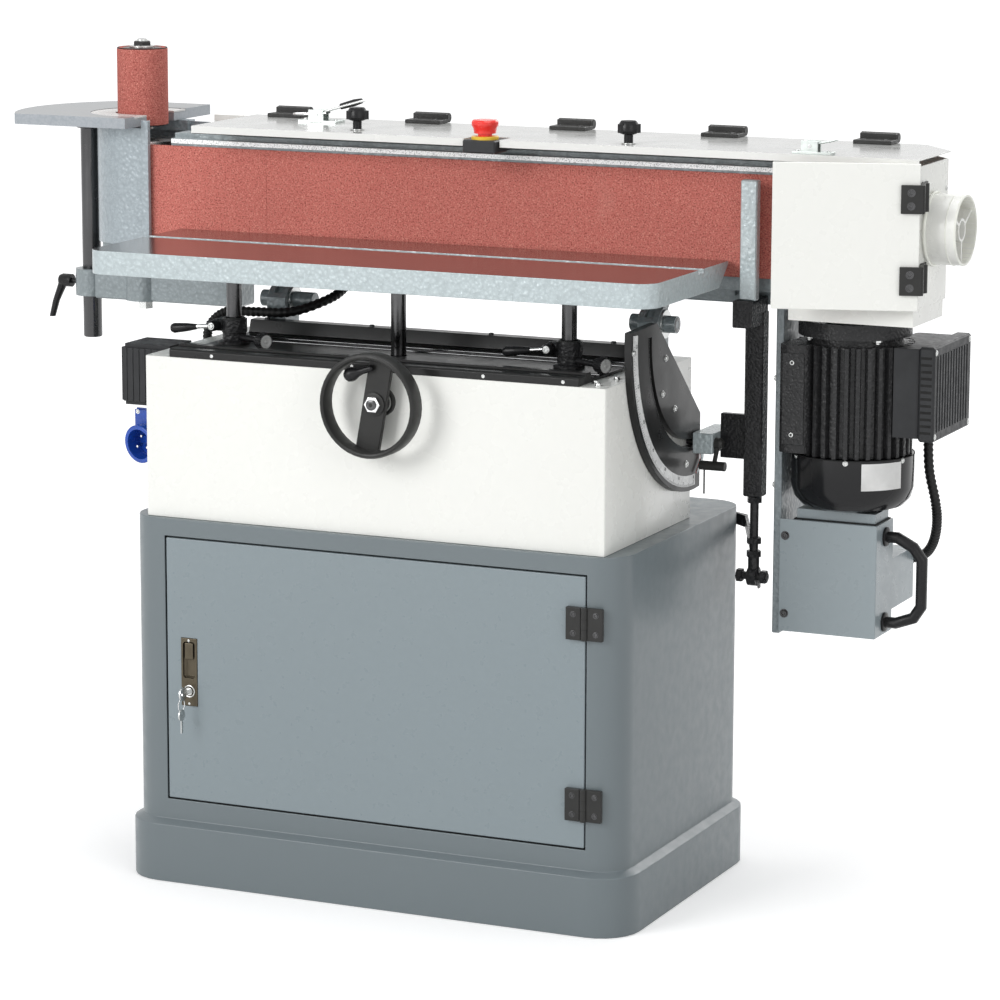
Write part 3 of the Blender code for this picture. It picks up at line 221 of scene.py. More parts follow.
def plated(name, colour, roughness, stretch=(1, 1, 60)):
    s = Surface(name, colour, roughness, 1.0)
    grain = s.noise(60.0, 5.0, stretch)
    s.paint(s.spread(grain, 0.35, 0.75), scaled(colour, 0.72))
    s.rough(s.noise(35.0, 4.0), 0.3, 0.75, roughness - 0.06, roughness + 0.14)
    return s.bump(grain, 0.00006, 0.4)


def abrasive_cloth(name, colour):
    s = Surface(name, colour, 0.92)
    s.shader.inputs["Specular IOR Level"].default_value = 0.25
    s.paint(s.spread(s.noise(3.2, 3.0, (1, 1, 0.6)), 0.48, 0.75), scaled(colour, 1.12))
    s.paint(s.spread(s.noise(520.0, 5.0), 0.52, 0.66, 0.0, 0.85), (0.72, 0.30, 0.24))
    s.paint(s.spread(s.noise(430.0, 5.0), 0.48, 0.34, 0.0, 0.85), (0.23, 0.046, 0.036))
    dust = s.noise(5.0, 7.0, (1.0, 1.0, 0.5), 0.65)
    s.paint(s.spread(dust, 0.60, 0.80, 0.0, 0.45), (0.66, 0.34, 0.28))
    return s.bump(s.noise(900.0, 3.0), 0.0007, 0.9)


def lid_paint():
    """White gloss paint with painted shade on the level top, which is coloured greyer than the folded edges.
    """
    s = Surface("lid_white", (0.80, 0.80, 0.775), 0.20).coat(0.3, 0.08)
    # painted shade: the level top is coloured half as light as the folded edges
    s.paint(s.facing_up(), (0.40, 0.403, 0.392))
    s.rough(s.noise(24.0, 4.0), 0.3, 0.7, 0.16, 0.28)
    return s.bump(s.noise(240.0, 2.0), 0.00012, 0.35)


def table_iron():
    """Ground cast iron on top, hammertone paint on the other faces."""
    s = Surface("work_table_iron_and_paint", HAMMER, 0.3)
    cells = hammer_marks(s, HAMMER)
    up = s.facing_up()
    s.paint(up, (0.31, 0.298, 0.294))
    scratches = s.noise(70.0, 6.0, (0.25, 9.0, 1.0))
    s.paint(s.times(up, s.spread(scratches, 0.52, 0.78)), (0.21, 0.200, 0.197))
    s.link(s.spread(up, 0.0, 1.0, 0.12, 0.96), s.shader.inputs["Metallic"])
    s.link(s.spread(up, 0.0, 1.0, 0.30, 0.17), s.shader.inputs["Roughness"])
    return s.bump(s.times(cells, s.spread(up, 0.0, 1.0, 1.0, 0.0)), 0.0016, 0.7).bump(scratches, 0.00004, 0.4)


def round_table_metal():
    s = Surface("round_table_metal", (0.345, 0.365, 0.39), 0.3, 0.35)
    cells = s.cells(320.0)
    s.paint(s.spread(cells, 0.2, 0.8), (0.28, 0.31, 0.335))
    up = s.facing_up()
    grain = s.noise(45.0, 6.0, (0.4, 7.0, 1.0))
    s.paint(s.times(up, s.spread(grain, 0.2, 0.8)), (0.385, 0.382, 0.372))
    s.link(s.spread(up, 0.0, 1.0, 0.15, 0.75), s.shader.inputs["Metallic"])
    s.link(s.spread(up, 0.0, 1.0, 0.34, 0.40), s.shader.inputs["Roughness"])
    return s.bump(cells, 0.0005, 0.12).bump(grain, 0.00005, 0.4)


def speckled_steel():
    s = Surface("speckled_steel", (0.86, 0.87, 0.87), 0.34, 0.25)
    s.paint(s.spread(s.noise(520.0, 5.0), 0.50, 0.62), (0.42, 0.43, 0.44))
    s.paint(s.spread(s.noise(430.0, 4.0), 0.56, 0.66), (0.98, 0.98, 0.98))
    return s.bump(s.noise(700.0, 2.0), 0.0003, 0.6)


FINISHES = {
    "cabinet_paint": (powder_coat, GREY),
    # the door's grey is the cabinet's GREY made about 1.5 times lighter: painted light on the door's front
    "door_paint": (powder_coat, (0.215, 0.258, 0.278), 0.30),
    "ballast_paint": (powder_coat, (0.270, 0.315, 0.335), 0.30),
    # one hammertone finish in three brightnesses: the idler cover and head frame copies are made darker,
    # painted shade on those parts
    "grey_hammertone": (hammered, HAMMER),
    "cover_hammertone": (hammered, (0.330, 0.378, 0.405), 0.32),
    "frame_hammertone": (hammered, (0.235, 0.272, 0.284), 0.34),
    "plate_paint": (hammered, (0.225, 0.260, 0.275), 0.36),
    "console_white": (smooth_paint, WHITE, 0.26),
    "cowl_black": (smooth_paint, (0.010, 0.010, 0.011), 0.12),
    "saddle_black": (smooth_paint, (0.012, 0.012, 0.012), 0.30),
    "port_white": (moulded, (0.86, 0.868, 0.80), 0.34, 1200.0),
    "insert_white": (moulded, (0.60, 0.595, 0.58), 0.30, 700.0),
    "plate_white": (moulded, (0.70, 0.70, 0.69), 0.35, 900.0),
    "scale_white": (moulded, (0.74, 0.745, 0.74), 0.28, 900.0),
    "satin_black": (moulded, (0.030, 0.030, 0.029), 0.36, 500.0),
    "grip_black": (moulded, (0.014, 0.014, 0.015), 0.30, 300.0),
    "box_plastic": (moulded, (0.030, 0.031, 0.033), 0.46, 800.0),
    "conduit_black": (moulded, (0.012, 0.012, 0.012), 0.38, 600.0),
    "gasket": (moulded, (0.010, 0.010, 0.010), 0.60, 900.0),
    "silver_plastic": (moulded, (0.62, 0.62, 0.61), 0.30, 400.0),
    "red_plastic": (moulded, (0.90, 0.032, 0.022), 0.16, 300.0),
    "green_plastic": (moulded, (0.015, 0.26, 0.055), 0.20, 300.0),
    "yellow_plastic": (moulded, (0.80, 0.52, 0.03), 0.30, 300.0),
    "blue_plastic": (moulded, (0.012, 0.070, 0.40), 0.24, 300.0),
    "pointer_red": (moulded, (0.70, 0.018, 0.015), 0.30, 300.0),
    "black_casting": (cast_black,),
    "motor_black": (cast_black, (0.022, 0.022, 0.023), 0.28),
    "post_steel": (plated, (0.100, 0.100, 0.102), 0.20, (1, 1, 0.02)),
    "zinc": (plated, (0.66, 0.67, 0.66), 0.24),
    "zinc_plate": (plated, (0.58, 0.62, 0.60), 0.28, (1, 30, 1)),
    "chrome": (plated, (0.80, 0.80, 0.80), 0.08, (1, 1, 1)),
    "bronze": (plated, (0.105, 0.090, 0.065), 0.34, (1, 30, 1)),
    "belt_cloth": (abrasive_cloth, ABRASIVE),
    "drum_cloth": (abrasive_cloth, (0.480, 0.140, 0.115)),
}
LOOK = {name: maker(name, *values) for name, (maker, *values) in FINISHES.items()}
LOOK["lid_white"] = lid_paint()
LOOK["table_iron"] = table_iron()
LOOK["round_table_metal"] = round_table_metal()
LOOK["speckled_steel"] = speckled_steel()


# ---------------------------------------- shapes

PLANES = {
    "X": lambda a, b, h: Vector((h, a, b)),
    "Y": lambda a, b, h: Vector((a, h, b)),
    "Z": lambda a, b, h: Vector((a, b, h)),
}


def skinned(bm, rings, ends=True):
    """Faces from each ring of points to the next and, with ends, over the first and the last."""
    for low, high in zip(rings, rings[1:]):
        for i in range(len(low)):
            j = (i + 1) % len(low)
            bm.faces.new((low[i], low[j], high[j], high[i]))
    if ends:
        bm.faces.new(reversed(rings[0]))
        bm.faces.new(rings[-1])
    bmesh.ops.recalc_face_normals(bm, faces=bm.faces)
    return bm


def loft(sections, axis="Z"):
    """A closed solid through outlines with as many points each: [(outline, height), ...]."""
    bm = bmesh.new()
    return skinned(bm, [[bm.verts.new(PLANES[axis](a, b, h)) for a, b in outline] for outline, h in sections])


def circle(a, b, radius, count):
    turns = [TAU * i / count for i in range(count)]
    return [(a + radius * math.cos(t), b + radius * math.sin(t)) for t in turns]


def rectangle(a0, a1, b0, b1):
    return (a0, b0), (a1, b0), (a1, b1), (a0, b1)


def turned(profile, a, b, axis="Z", count=36):
    """A turned solid from (radius, height) points; the ends are closed flat."""
    return loft([(circle(a, b, max(r, 1e-5), count), h) for r, h in profile], axis)


def slab(outline, low, high, axis="Z"):
    return loft([(outline, low), (outline, high)], axis)


def block(x0, x1, y0, y1, z0, z1):
    return slab(rectangle(x0, x1, y0, y1), z0, z1)


def aimed(bm, origin, direction):
    turn = Vector(UP).rotation_difference(Vector(direction)).to_matrix().to_4x4()
    bmesh.ops.transform(bm, matrix=Matrix.Translation(origin) @ turn, verts=bm.verts)
    return bm


def ring(a, b, h, major, minor, axis="Z", count=32, sides=10):
    """A torus about a point of the plane across an axis."""
    bm = bmesh.new()
    rings = []
    for i in range(count):
        t = TAU * i / count
        made = []
        for k in range(sides):
            s = TAU * k / sides
            r = major + minor * math.cos(s)
            at = PLANES[axis](a + r * math.cos(t), b + r * math.sin(t), h + minor * math.sin(s))
            made.append(bm.verts.new(at))
        rings.append(made)
    return skinned(bm, rings + rings[:1], ends=False)


def tube(path, radii, sides=14):
    """A round bar through points, with a radius at each."""
    bm = bmesh.new()
    rings, side = [], None
    for i, centre in enumerate(path):
        along = (path[min(i + 1, len(path) - 1)] - path[max(i - 1, 0)]).normalized()
        side = along.orthogonal() if side is None else side - along * side.dot(along)
        side.normalize()
        up = along.cross(side)
        turns = [TAU * k / sides for k in range(sides)]
        outline = [centre + (side * math.cos(t) + up * math.sin(t)) * radii[i] for t in turns]
        rings.append([bm.verts.new(at) for at in outline])
    return skinned(bm, rings)


def curve_through(points, steps):
    """Catmull-Rom points through a given route."""
    path = [Vector(p) for p in points]
    ends = [path[0] * 2 - path[1]] + path + [path[-1] * 2 - path[-2]]
    made = []
    for a, b, c, d in zip(ends, ends[1:], ends[2:], ends[3:]):
        for i in range(steps):
            t = i / steps
            made.append(0.5 * (2 * b + (c - a) * t + (2 * a - 5 * b + 4 * c - d) * t * t
                               + (3 * b - a - 3 * c + d) * t ** 3))
    return made + [path[-1]]


def join(*shapes):
    """Several shapes as one mesh."""
    whole = bmesh.new()
    for bm in shapes:
        mesh = bpy.data.meshes.new("part")
        bm.to_mesh(mesh)
        bm.free()
        whole.from_mesh(mesh)
        bpy.data.meshes.remove(mesh)
    return whole


def soften(obj, width, segments=2):
    """Rounded edges with flat faces kept flat."""
    weld = obj.modifiers.new("weld", "WELD")
    weld.merge_threshold = 0.00001
    bevel = obj.modifiers.new("soft_edges", "BEVEL")
    bevel.width = width
    bevel.segments = segments
    bevel.limit_method = "ANGLE"
    bevel.angle_limit = math.radians(30)
    bevel.harden_normals = True
    obj.data.polygons.foreach_set("use_smooth", [True] * len(obj.data.polygons))


def piece(name, bm, look, body, slot, edge=0.0004, segments=2):
    mesh = bpy.data.meshes.new(name)
    bm.to_mesh(mesh)
    bm.free()
    obj = bpy.data.objects.new(name, mesh)
    bpy.context.scene.collection.objects.link(obj)
    mesh.materials.append(LOOK[look].made)
    soften(obj, edge, segments)
    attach(obj, body)
    return obj


def dress(node, look, edge=0.0006):
    """Gives a frame node its finish and soft edges."""
    obj = NODES[node]
    obj.data.materials.clear()
    obj.data.materials.append(LOOK[look].made)
    obj.data.polygons.foreach_set("material_index", [0] * len(obj.data.polygons))
    if "custom_normal" in obj.data.attributes:
        obj.data.attributes.remove(obj.data.attributes["custom_normal"])
    soften(obj, edge)


def screw(name, at, direction, radius, height, body, look="zinc", slot="zinc"):
    """A cap screw with a round recess, standing on a surface."""
    head = turned(((radius, 0.0), (radius, height * 0.72), (radius * 0.86, height), (radius * 0.56, height),
                   (radius * 0.50, height * 0.45), (0.0, height * 0.42)), 0.0, 0.0, count=20)
    rim = radius * 1.35
    washer = turned(((rim, -0.0002), (rim, height * 0.16), (radius * 0.9, height * 0.16)), 0.0, 0.0, count=24)
    return piece(name, aimed(join(head, washer), at, direction), look, body, slot, 0.00015, 1)


def hex_nut(name, at, direction, radius, thick, body):
    end = radius * 0.52
    bolt = turned(((end, 0.0), (end, thick * 1.45), (radius * 0.44, thick * 1.6)), 0.0, 0.0, count=18)
    outline = circle(0, 0, radius, 6)
    nut = loft([(outline, 0.0), (outline, thick * 0.85), (circle(0, 0, radius * 0.88, 6), thick)])
    return piece(name, aimed(join(nut, bolt), at, direction), "zinc", body, "zinc", 0.0002, 2)


# ---------------------------------------- frame nodes

FINISH = {
    "cabinet_paint": ["cabinet"],
    "door_paint": ["cabinet_door"],
    "console_white": ["console", "drive_door", "drive_box", "rear_guard"],
    "lid_white": ["lid"],
    "grey_hammertone": ["stop_bar", "pointer_arm"],
    "cover_hammertone": ["idler_cover"],
    "frame_hammertone": ["head_frame", "trunnion_left", "trunnion_right"],
    "plate_paint": ["mount_plate"],
    "ballast_paint": ["counterweight_box"],
    "black_casting": ["post_clamp_left", "post_clamp_right", "stop_bracket", "tilt_arm"],
    "motor_black": ["motor_body"],
    "cowl_black": ["motor_cowl"],
    "satin_black": ["handwheel", "door_hinge_upper", "door_hinge_lower", "tilt_lock"],
    "grip_black": ["wheel_grip", "clamp_lever_left", "clamp_lever_right", "clamp_knob_left",
                   "clamp_knob_right", "round_lever", "lid_knob_left", "lid_knob_right", "pull_handle"],
    "box_plastic": ["switch_box", "terminal_box", "estop_housing", "drive_roller"],
    "saddle_black": ["table_saddle", "quadrant"],
    "post_steel": ["post_left", "post_middle", "post_right", "round_post"],
    "zinc": ["latch_key", "tension_lever", "idler_roller"],
    "zinc_plate": ["box_latch"],
    "bronze": ["latch_plate"],
    "belt_cloth": ["sanding_belt"],
    "drum_cloth": ["sanding_drum"],
    "table_iron": ["work_table"],
    "round_table_metal": ["round_table"],
    "insert_white": ["table_insert"],
    "red_plastic": ["estop_button", "stop_button"],
    "green_plastic": ["start_button"],
    "blue_plastic": ["power_inlet"],
    "conduit_black": ["cable_conduit", "motor_conduit"],
}
EDGES = {"cabinet": 0.0012, "cabinet_door": 0.0012, "console": 0.0010, "work_table": 0.0012,
         "round_table": 0.0012, "handwheel": 0.0008, "motor_body": 0.0008, "counterweight_box": 0.0010,
         "sanding_belt": 0.0002, "head_frame": 0.0008}


def dress_frame():
    for look, nodes in FINISH.items():
        for node in nodes:
            dress(node, look, EDGES.get(node, 0.0005))


# ---------------------------------------- cabinet

def add_cabinet_details():
    door_low, door_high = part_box("cabinet_door")
    side, front = door_high.x, door_low.y
    for level in ("upper", "lower"):
        low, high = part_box(f"door_hinge_{level}")
        middle = (low.z + high.z) / 2
        leaf = block(side - 0.0275, side - 0.0042, low.y + 0.0030, front + 0.0002, low.z, high.z)
        piece(f"door_leaf_{level}", leaf, "satin_black", "door", "black_plastic", 0.0010)
        for row, z in (("top", middle + 0.014), ("low", middle - 0.014)):
            screw(f"door_leaf_{level}_screw_{row}", (side - 0.016, low.y + 0.0032, z), TO_FRONT,
                  0.0034, 0.0016, "door", *BLACK_STEEL)
            screw(f"frame_leaf_{level}_screw_{row}", (side + 0.019, low.y + 0.0046, z), TO_FRONT,
                  0.0034, 0.0016, "stand", *BLACK_STEEL)
        for end, z in (("top", high.z - 0.0165), ("low", low.z + 0.0165)):
            seam = ring(side + 0.001, low.y + 0.0052, z, 0.0052, 0.0003, count=20, sides=6)
            piece(f"door_hinge_{level}_seam_{end}", seam, "gasket", "stand", "black_plastic", *FINE)
    reach, wide = 0.0035, 0.0022
    x0, x1, z0, z1 = door_low.x - reach, door_high.x + reach, door_low.z - reach, door_high.z + reach
    y0, y1 = front + 0.0045, front + 0.0080
    lip = join(block(x0, x1, y0, y1, z0, z0 + wide), block(x0, x1, y0, y1, z1 - wide, z1),
               block(x0, x0 + wide, y0, y1, z0, z1), block(x1 - wide, x1, y0, y1, z0, z1))
    piece("door_seal", lip, "gasket", "stand", "rubber", 0.0003, 1)


def add_keys():
    low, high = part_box("latch_key")
    x, y, z = (low.x + high.x) / 2, low.y + 0.006, low.z + 0.0030
    piece("key_ring", ring(y, z - 0.0085, x, 0.0095, 0.0007, "X", 28, 8), "chrome", "key", "zinc", *FINE)
    x0, x1 = x - 0.0008, x + 0.0008
    blade = block(x0, x1, y - 0.0022, y + 0.0022, z - 0.052, z - 0.026)
    teeth = [block(x0, x1, y + 0.0018, y + 0.0036, z - 0.050 + 0.006 * i, z - 0.0475 + 0.006 * i)
             for i in range(3)]
    bow = turned(((0.0090, x - 0.0011), (0.0090, x + 0.0011)), y, z - 0.0240, "X", 24)
    piece("spare_key", join(blade, bow, *teeth), "zinc", "key", "zinc", 0.0003)

    low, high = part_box("latch_plate")
    x, y = (low.x + high.x) / 2, low.y
    rim = ring(x, 0.298, y + 0.0003, 0.0086, 0.0011, "Y", 28, 8)
    piece("latch_lock_rim", rim, "zinc", "door", "zinc", *FINE)
    paddle = slab(rectangle(x - 0.0072, x + 0.0072, 0.3470, 0.3725), y - 0.0004, y + 0.0030, "Y")
    piece("latch_paddle", paddle, "bronze", "door", "bronze", 0.0014, 3)
    for name, z in (("top", 0.3762), ("low", 0.2790)):
        screw(f"latch_screw_{name}", (x, y + 0.0002, z), TO_FRONT, 0.0020, 0.0008, "door")


# ---------------------------------------- console, saddle and controls

def add_console_details():
    low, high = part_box("table_saddle")
    for i, x in enumerate((-0.262, -0.030, 0.180, 0.305)):
        screw(f"saddle_screw_{i}", (x, low.y + 0.0002, low.z + 0.0052), TO_FRONT, 0.0028, 0.0012, "stand")
    for i, (x, y) in enumerate(((0.338, -0.196), (0.352, -0.150), (0.350, -0.215))):
        screw(f"console_top_screw_{i}", (x, y, low.z - 0.0002), UP, 0.0042, 0.0040, "stand")
    rods = [turned(((0.0016, low.x + 0.004), (0.0016, high.x - 0.004)), y, high.z - 0.0185, "X", 10)
            for y in (-0.176, -0.150, -0.060, -0.030)]
    piece("saddle_slide_lines", join(*rods), "post_steel", "stand", "black_steel", 0.0002, 1)
    for i, x in enumerate((-0.31, -0.13, 0.07, 0.27)):
        at = (x, 0.033, high.z - 0.0002)
        screw(f"saddle_rail_screw_{i}", at, UP, 0.0040, 0.0026, "stand", *BLACK_STEEL)
    low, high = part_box("console")
    seam = block(low.x + 0.012, high.x - 0.012, high.y - 0.0001, high.y + 0.0006,
                 low.z + 0.02, low.z + 0.0212)
    piece("console_rear_seam", seam, "gasket", "stand", "white_paint", 0.0002, 1)


POST_Y = -0.100
CLAMP_KNOB = Vector((0.89, -0.45, 0.0)).normalized()


def add_post_details():
    for side, x in (("left", -0.2965), ("right", 0.2555)):
        low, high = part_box(f"post_clamp_{side}")
        knob, lever = f"{side}_clamp_knob", f"{side}_clamp_lever"
        collar = join(ring(x, POST_Y, high.z + 0.0002, 0.0150, 0.0022, sides=8),
                      ring(x, POST_Y, low.z + 0.0185, 0.0186, 0.0010, sides=8))
        piece(f"post_wiper_{side}", collar, "satin_black", "stand", "black_paint", *FINE)
        start = Vector((x, POST_Y, low.z + 0.0114))
        face = turned(((0.0106, 0.0), (0.0106, 0.0010), (0.0092, 0.0012), (0.0070, 0.0012), (0.0062, 0.0004),
                       (0.0030, 0.0002), (0.0018, 0.0012)), 0, 0, count=24)
        piece(f"clamp_knob_{side}_face", aimed(face, start + CLAMP_KNOB * 0.0816, CLAMP_KNOB),
              "silver_plastic", knob, "zinc", *FINE)
        flutes = [aimed(turned(((0.0011, 0.0700), (0.0011, 0.0815)), a, b, count=8), start, CLAMP_KNOB)
                  for a, b in circle(0.0, 0.0, 0.0117, 14)]
        piece(f"clamp_knob_{side}_flutes", join(*flutes), "grip_black", knob, "black_plastic", *FINE)
        x, y, z = x - 0.0245, -0.1133, low.z + 0.028
        ends = [Vector((x - 0.002, y - 0.0093, z - 0.0002)), Vector((x - 0.029, y - 0.0129, z - 0.0029))]
        rod = tube(ends, [0.0034, 0.0034], 14)
        piece(f"clamp_lever_{side}_rod", rod, "chrome", lever, "zinc", 0.0002, 1)
        screw(f"clamp_lever_{side}_cap", (x, y - 0.0160, z), TO_FRONT, 0.0040, 0.0016, lever)


WHEEL = Vector((0.020, -0.277, 0.761))


def add_wheel_details():
    x, y, z = WHEEL
    lip = join(*[ring(x, z, h, 0.0722, 0.0009, "Y", 64, 8) for h in (y - 0.0152, y + 0.0150)])
    piece("handwheel_lips", lip, "satin_black", "wheel", "black_plastic", *FINE)
    outline = circle(x, z, 0.0131, 6)
    nut = loft([(outline, y + 0.0078), (outline, y + 0.0024), (circle(x, z, 0.0116, 6), y + 0.0014)], "Y")
    piece("handwheel_nut", nut, "chrome", "wheel", "zinc", 0.0004, 2)
    stud = turned(((0.0080, y + 0.0016), (0.0080, y - 0.0004), (0.0062, y - 0.0012), (0.0030, y - 0.0012),
                   (0.0026, y + 0.0006)), x, z, "Y", 24)
    piece("handwheel_stud", stud, "post_steel", "wheel", "black_steel", 0.0002, 1)
    collar = join(ring(x, z, -0.2430, 0.0188, 0.0024, "Y", 40, 10),
                  turned(((0.0212, -0.2373), (0.0212, -0.2428)), x, z, "Y", 40))
    piece("handwheel_collar", collar, "satin_black", "stand", "black_paint", 0.0002, 1)


INLET = Vector((-0.4235, -0.1145, 0.6545))
INLET_FACING = Vector((-0.24, -0.965, -0.10)).normalized()


def add_switch_details():
    low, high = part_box("switch_box")
    ribs = [block(x, x + 0.0030, low.y - 0.0012, low.y + 0.001, low.z + 0.006, high.z - 0.006)
            for x in [low.x + 0.010 + 0.0105 * i for i in range(8)]]
    piece("switch_box_ribs", join(*ribs), "box_plastic", "stand", "black_plastic", 0.0006)
    for name, z in (("start", 0.781), ("stop", 0.736)):
        rim = ring(-0.115, z, low.x - 0.0004, 0.0172, 0.0015, "X", 32, 8)
        piece(f"{name}_button_rim", rim, "box_plastic", "stand", "black_plastic", *FINE)
    at = (low.x + 0.0002, low.y + 0.012, high.z - 0.010)
    screw("switch_box_screw", at, TO_LEFT, 0.0030, 0.0012, "stand")
    side = Vector(UP).cross(INLET_FACING).normalized()
    up = INLET_FACING.cross(side)
    for i in range(3):
        t = TAU * i / 3 + TAU / 4
        at = INLET + INLET_FACING * 0.0158 + (side * math.cos(t) + up * math.sin(t)) * 0.0115
        pin = turned(((0.0026, 0.0), (0.0026, 0.018), (0.0018, 0.020)), 0, 0, count=14)
        piece(f"inlet_pin_{i}", aimed(pin, at, INLET_FACING), "chrome", "stand", "zinc", 0.0002, 1)
    rims = [aimed(ring(0, 0, h, major, minor, count=36, sides=8), INLET, INLET_FACING)
            for h, major, minor in ((0.0405, 0.0283, 0.0016), (0.020, 0.0290, 0.0010))]
    piece("inlet_collar_rims", join(*rims), "blue_plastic", "stand", "blue_plastic", *FINE)
    for i, (x, z) in enumerate(((-0.4490, 0.696), (-0.3815, 0.696), (-0.4490, 0.628), (-0.3815, 0.628))):
        screw(f"inlet_screw_{i}", (x, -0.1299, z), TO_FRONT, 0.0026, 0.0012, "stand")


# ---------------------------------------- tilt scale

TILT = Vector((0.0, 0.075, 0.853))


def polar(radius, degrees, x):
    t = math.radians(degrees)
    return Vector((x, TILT.y + radius * math.cos(t), TILT.z + radius * math.sin(t)))


def band(inner, outer, start, end, x0, x1, count):
    """A flat curved strip standing across X about the tilt axis."""
    angles = [start + (end - start) * i / count for i in range(count + 1)]
    outline = [polar(outer, a, 0) for a in angles] + [polar(inner, a, 0) for a in reversed(angles)]
    return slab([(p.y, p.z) for p in outline], x0, x1, "X")


def add_scale():
    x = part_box("quadrant")[1].x
    strip = band(0.2230, 0.2395, 176.0, 271.5, x - 0.0002, x + 0.0006, 60)
    piece("tilt_scale", strip, "scale_white", "stand", "white_paint", *FINE)
    ticks = []
    for i in range(91):
        angle = 270.0 - i
        length = 0.0070 if i % 10 == 0 else 0.0048 if i % 5 == 0 else 0.0030
        ticks.append(band(0.2390 - length, 0.2390, angle - 0.045, angle + 0.045, x + 0.0005, x + 0.0008, 1))
    piece("tilt_scale_marks", join(*ticks), "gasket", "stand", "black_paint", 0.00003, 1)
    for i in range(0, 91, 15):
        text = bpy.data.curves.new(f"tilt_number_{i}", "FONT")
        text.body = str(i)
        text.size = 0.0062
        text.align_x, text.align_y = "CENTER", "CENTER"
        text.extrude = 0.00008
        obj = bpy.data.objects.new(f"tilt_number_{i}", text)
        bpy.context.scene.collection.objects.link(obj)
        angle = math.radians(270.0 - i)
        out = Vector((0, math.cos(angle), math.sin(angle)))
        right = Vector((0, -out.z, out.y))
        turn = Matrix((right, -out, Vector(TO_RIGHT))).transposed().to_4x4()
        obj.matrix_world = Matrix.Translation(polar(0.2276, 270.0 - i, x + 0.0008)) @ turn
        text.materials.append(LOOK["gasket"].made)
        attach(obj, "stand")
    edge = band(0.1800, 0.1812, 178.0, 272.0, x - 0.0002, x + 0.0005, 40)
    piece("quadrant_slot_lip", edge, "post_steel", "stand", "black_steel", *FINE)
    places = ((0.118, 196.0), (0.136, 236.0), (0.205, 262.0), (0.150, 214.0), (0.238, 182.0))
    for i, (radius, degrees) in enumerate(places):
        screw(f"quadrant_screw_{i}", polar(radius, degrees, x), TO_RIGHT, 0.0040, 0.0026, "stand")


# ---------------------------------------- head

def add_trunnion_details():
    for side, x in (("left", -0.301), ("right", 0.318)):
        for end, sign in (("a", 1), ("b", -1)):
            face = x + sign * 0.0161
            washer = turned(((0.0215, face), (0.0215, face + sign * 0.0030), (0.0140, face + sign * 0.0032)),
                            TILT.y, TILT.z, "X", 32)
            piece(f"trunnion_{side}_washer_{end}", washer, "zinc", "head", "zinc", 0.0003)
            profile = ((0.0128, 0.003), (0.0128, 0.020), (0.011, 0.0208), (0.006, 0.0208), (0.005, 0.015))
            cap = turned([(r, face + sign * h) for r, h in profile], TILT.y, TILT.z, "X", 28)
            piece(f"trunnion_{side}_pin_{end}", cap, "post_steel", "head", "black_steel", 0.0002)


def add_platen_details():
    low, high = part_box("sanding_belt")
    strip = block(-0.497, 0.519, 0.0716, 0.0730, high.z + 0.0038, 1.0938)
    piece("platen_edge", strip, "speckled_steel", "head", "hammertone", 0.0003)
    for i in range(10):
        x = -0.470 + 0.108 * i
        if not 0.02 < x < 0.11:  # where the emergency stop stands
            screw(f"flange_screw_{i}", (x, 0.094, 1.1021), UP, 0.0036, 0.0026, "head")
    y = low.y
    seam = block(-0.3300, -0.3285, y - 0.0003, y + 0.0003, low.z + 0.0004, high.z - 0.0004)
    piece("belt_seam", seam, "drum_cloth", "belt_unit", "abrasive", *FINE)
    edges = [block(-0.582, 0.613, y - 0.00015, y + 0.0011, z0, z1)
             for z0, z1 in ((low.z - 0.0003, low.z + 0.0004), (high.z - 0.0004, high.z + 0.0003))]
    piece("belt_edges", join(*edges), "drum_cloth", "belt_unit", "abrasive", *FINE)


def add_drum_details():
    low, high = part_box("sanding_drum")
    x, y, z = (low.x + high.x) / 2, (low.y + high.y) / 2, high.z
    sleeve = join(*[ring(x, y, h, 0.0385, 0.0012, count=48, sides=8) for h in (z - 0.0008, low.z + 0.0008)])
    piece("drum_sleeve_edges", sleeve, "gasket", "idler", "rubber", *FINE)
    cap = turned(((0.0310, z - 0.0018), (0.0310, z - 0.0004), (0.0200, z - 0.0002), (0.0120, z + 0.0032),
                  (0.0100, z + 0.0034)), x, y, count=40)
    piece("drum_cap", cap, "satin_black", "idler", "black_plastic", 0.0003)
    outline = circle(x, y, 0.0150, 6)
    nut = loft([(outline, z + 0.0030), (outline, z + 0.0085), (circle(x, y, 0.0130, 6), z + 0.0098)])
    stud = turned(((0.0078, z + 0.009), (0.0078, z + 0.0125), (0.0064, z + 0.0130)), x, y, count=20)
    piece("drum_nut", join(nut, stud), "satin_black", "idler", "black_steel", 0.0003)
    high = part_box("round_table")[1]
    rim = ring(x, y, high.z - 0.0006, 0.0832, 0.0005, count=64, sides=6)
    past_table = [v for v in rim.verts if v.co.x > high.x - 0.002]
    bmesh.ops.delete(rim, geom=past_table, context="VERTS")
    piece("insert_gap", rim, "gasket", "drum_table", "black_paint", 0.00005, 1)
    for i, degrees in enumerate((110, 180, 250)):
        t = math.radians(degrees)
        at = (x + 0.066 * math.cos(t), y + 0.066 * math.sin(t), high.z - 0.0010)
        screw(f"insert_screw_{i}", at, UP, 0.0032, 0.0006, "drum_table")


LID_TOP, LID_REAR = 1.1225, 0.2205
LID_HINGES = (-0.359, -0.119, 0.125, 0.373, 0.614)


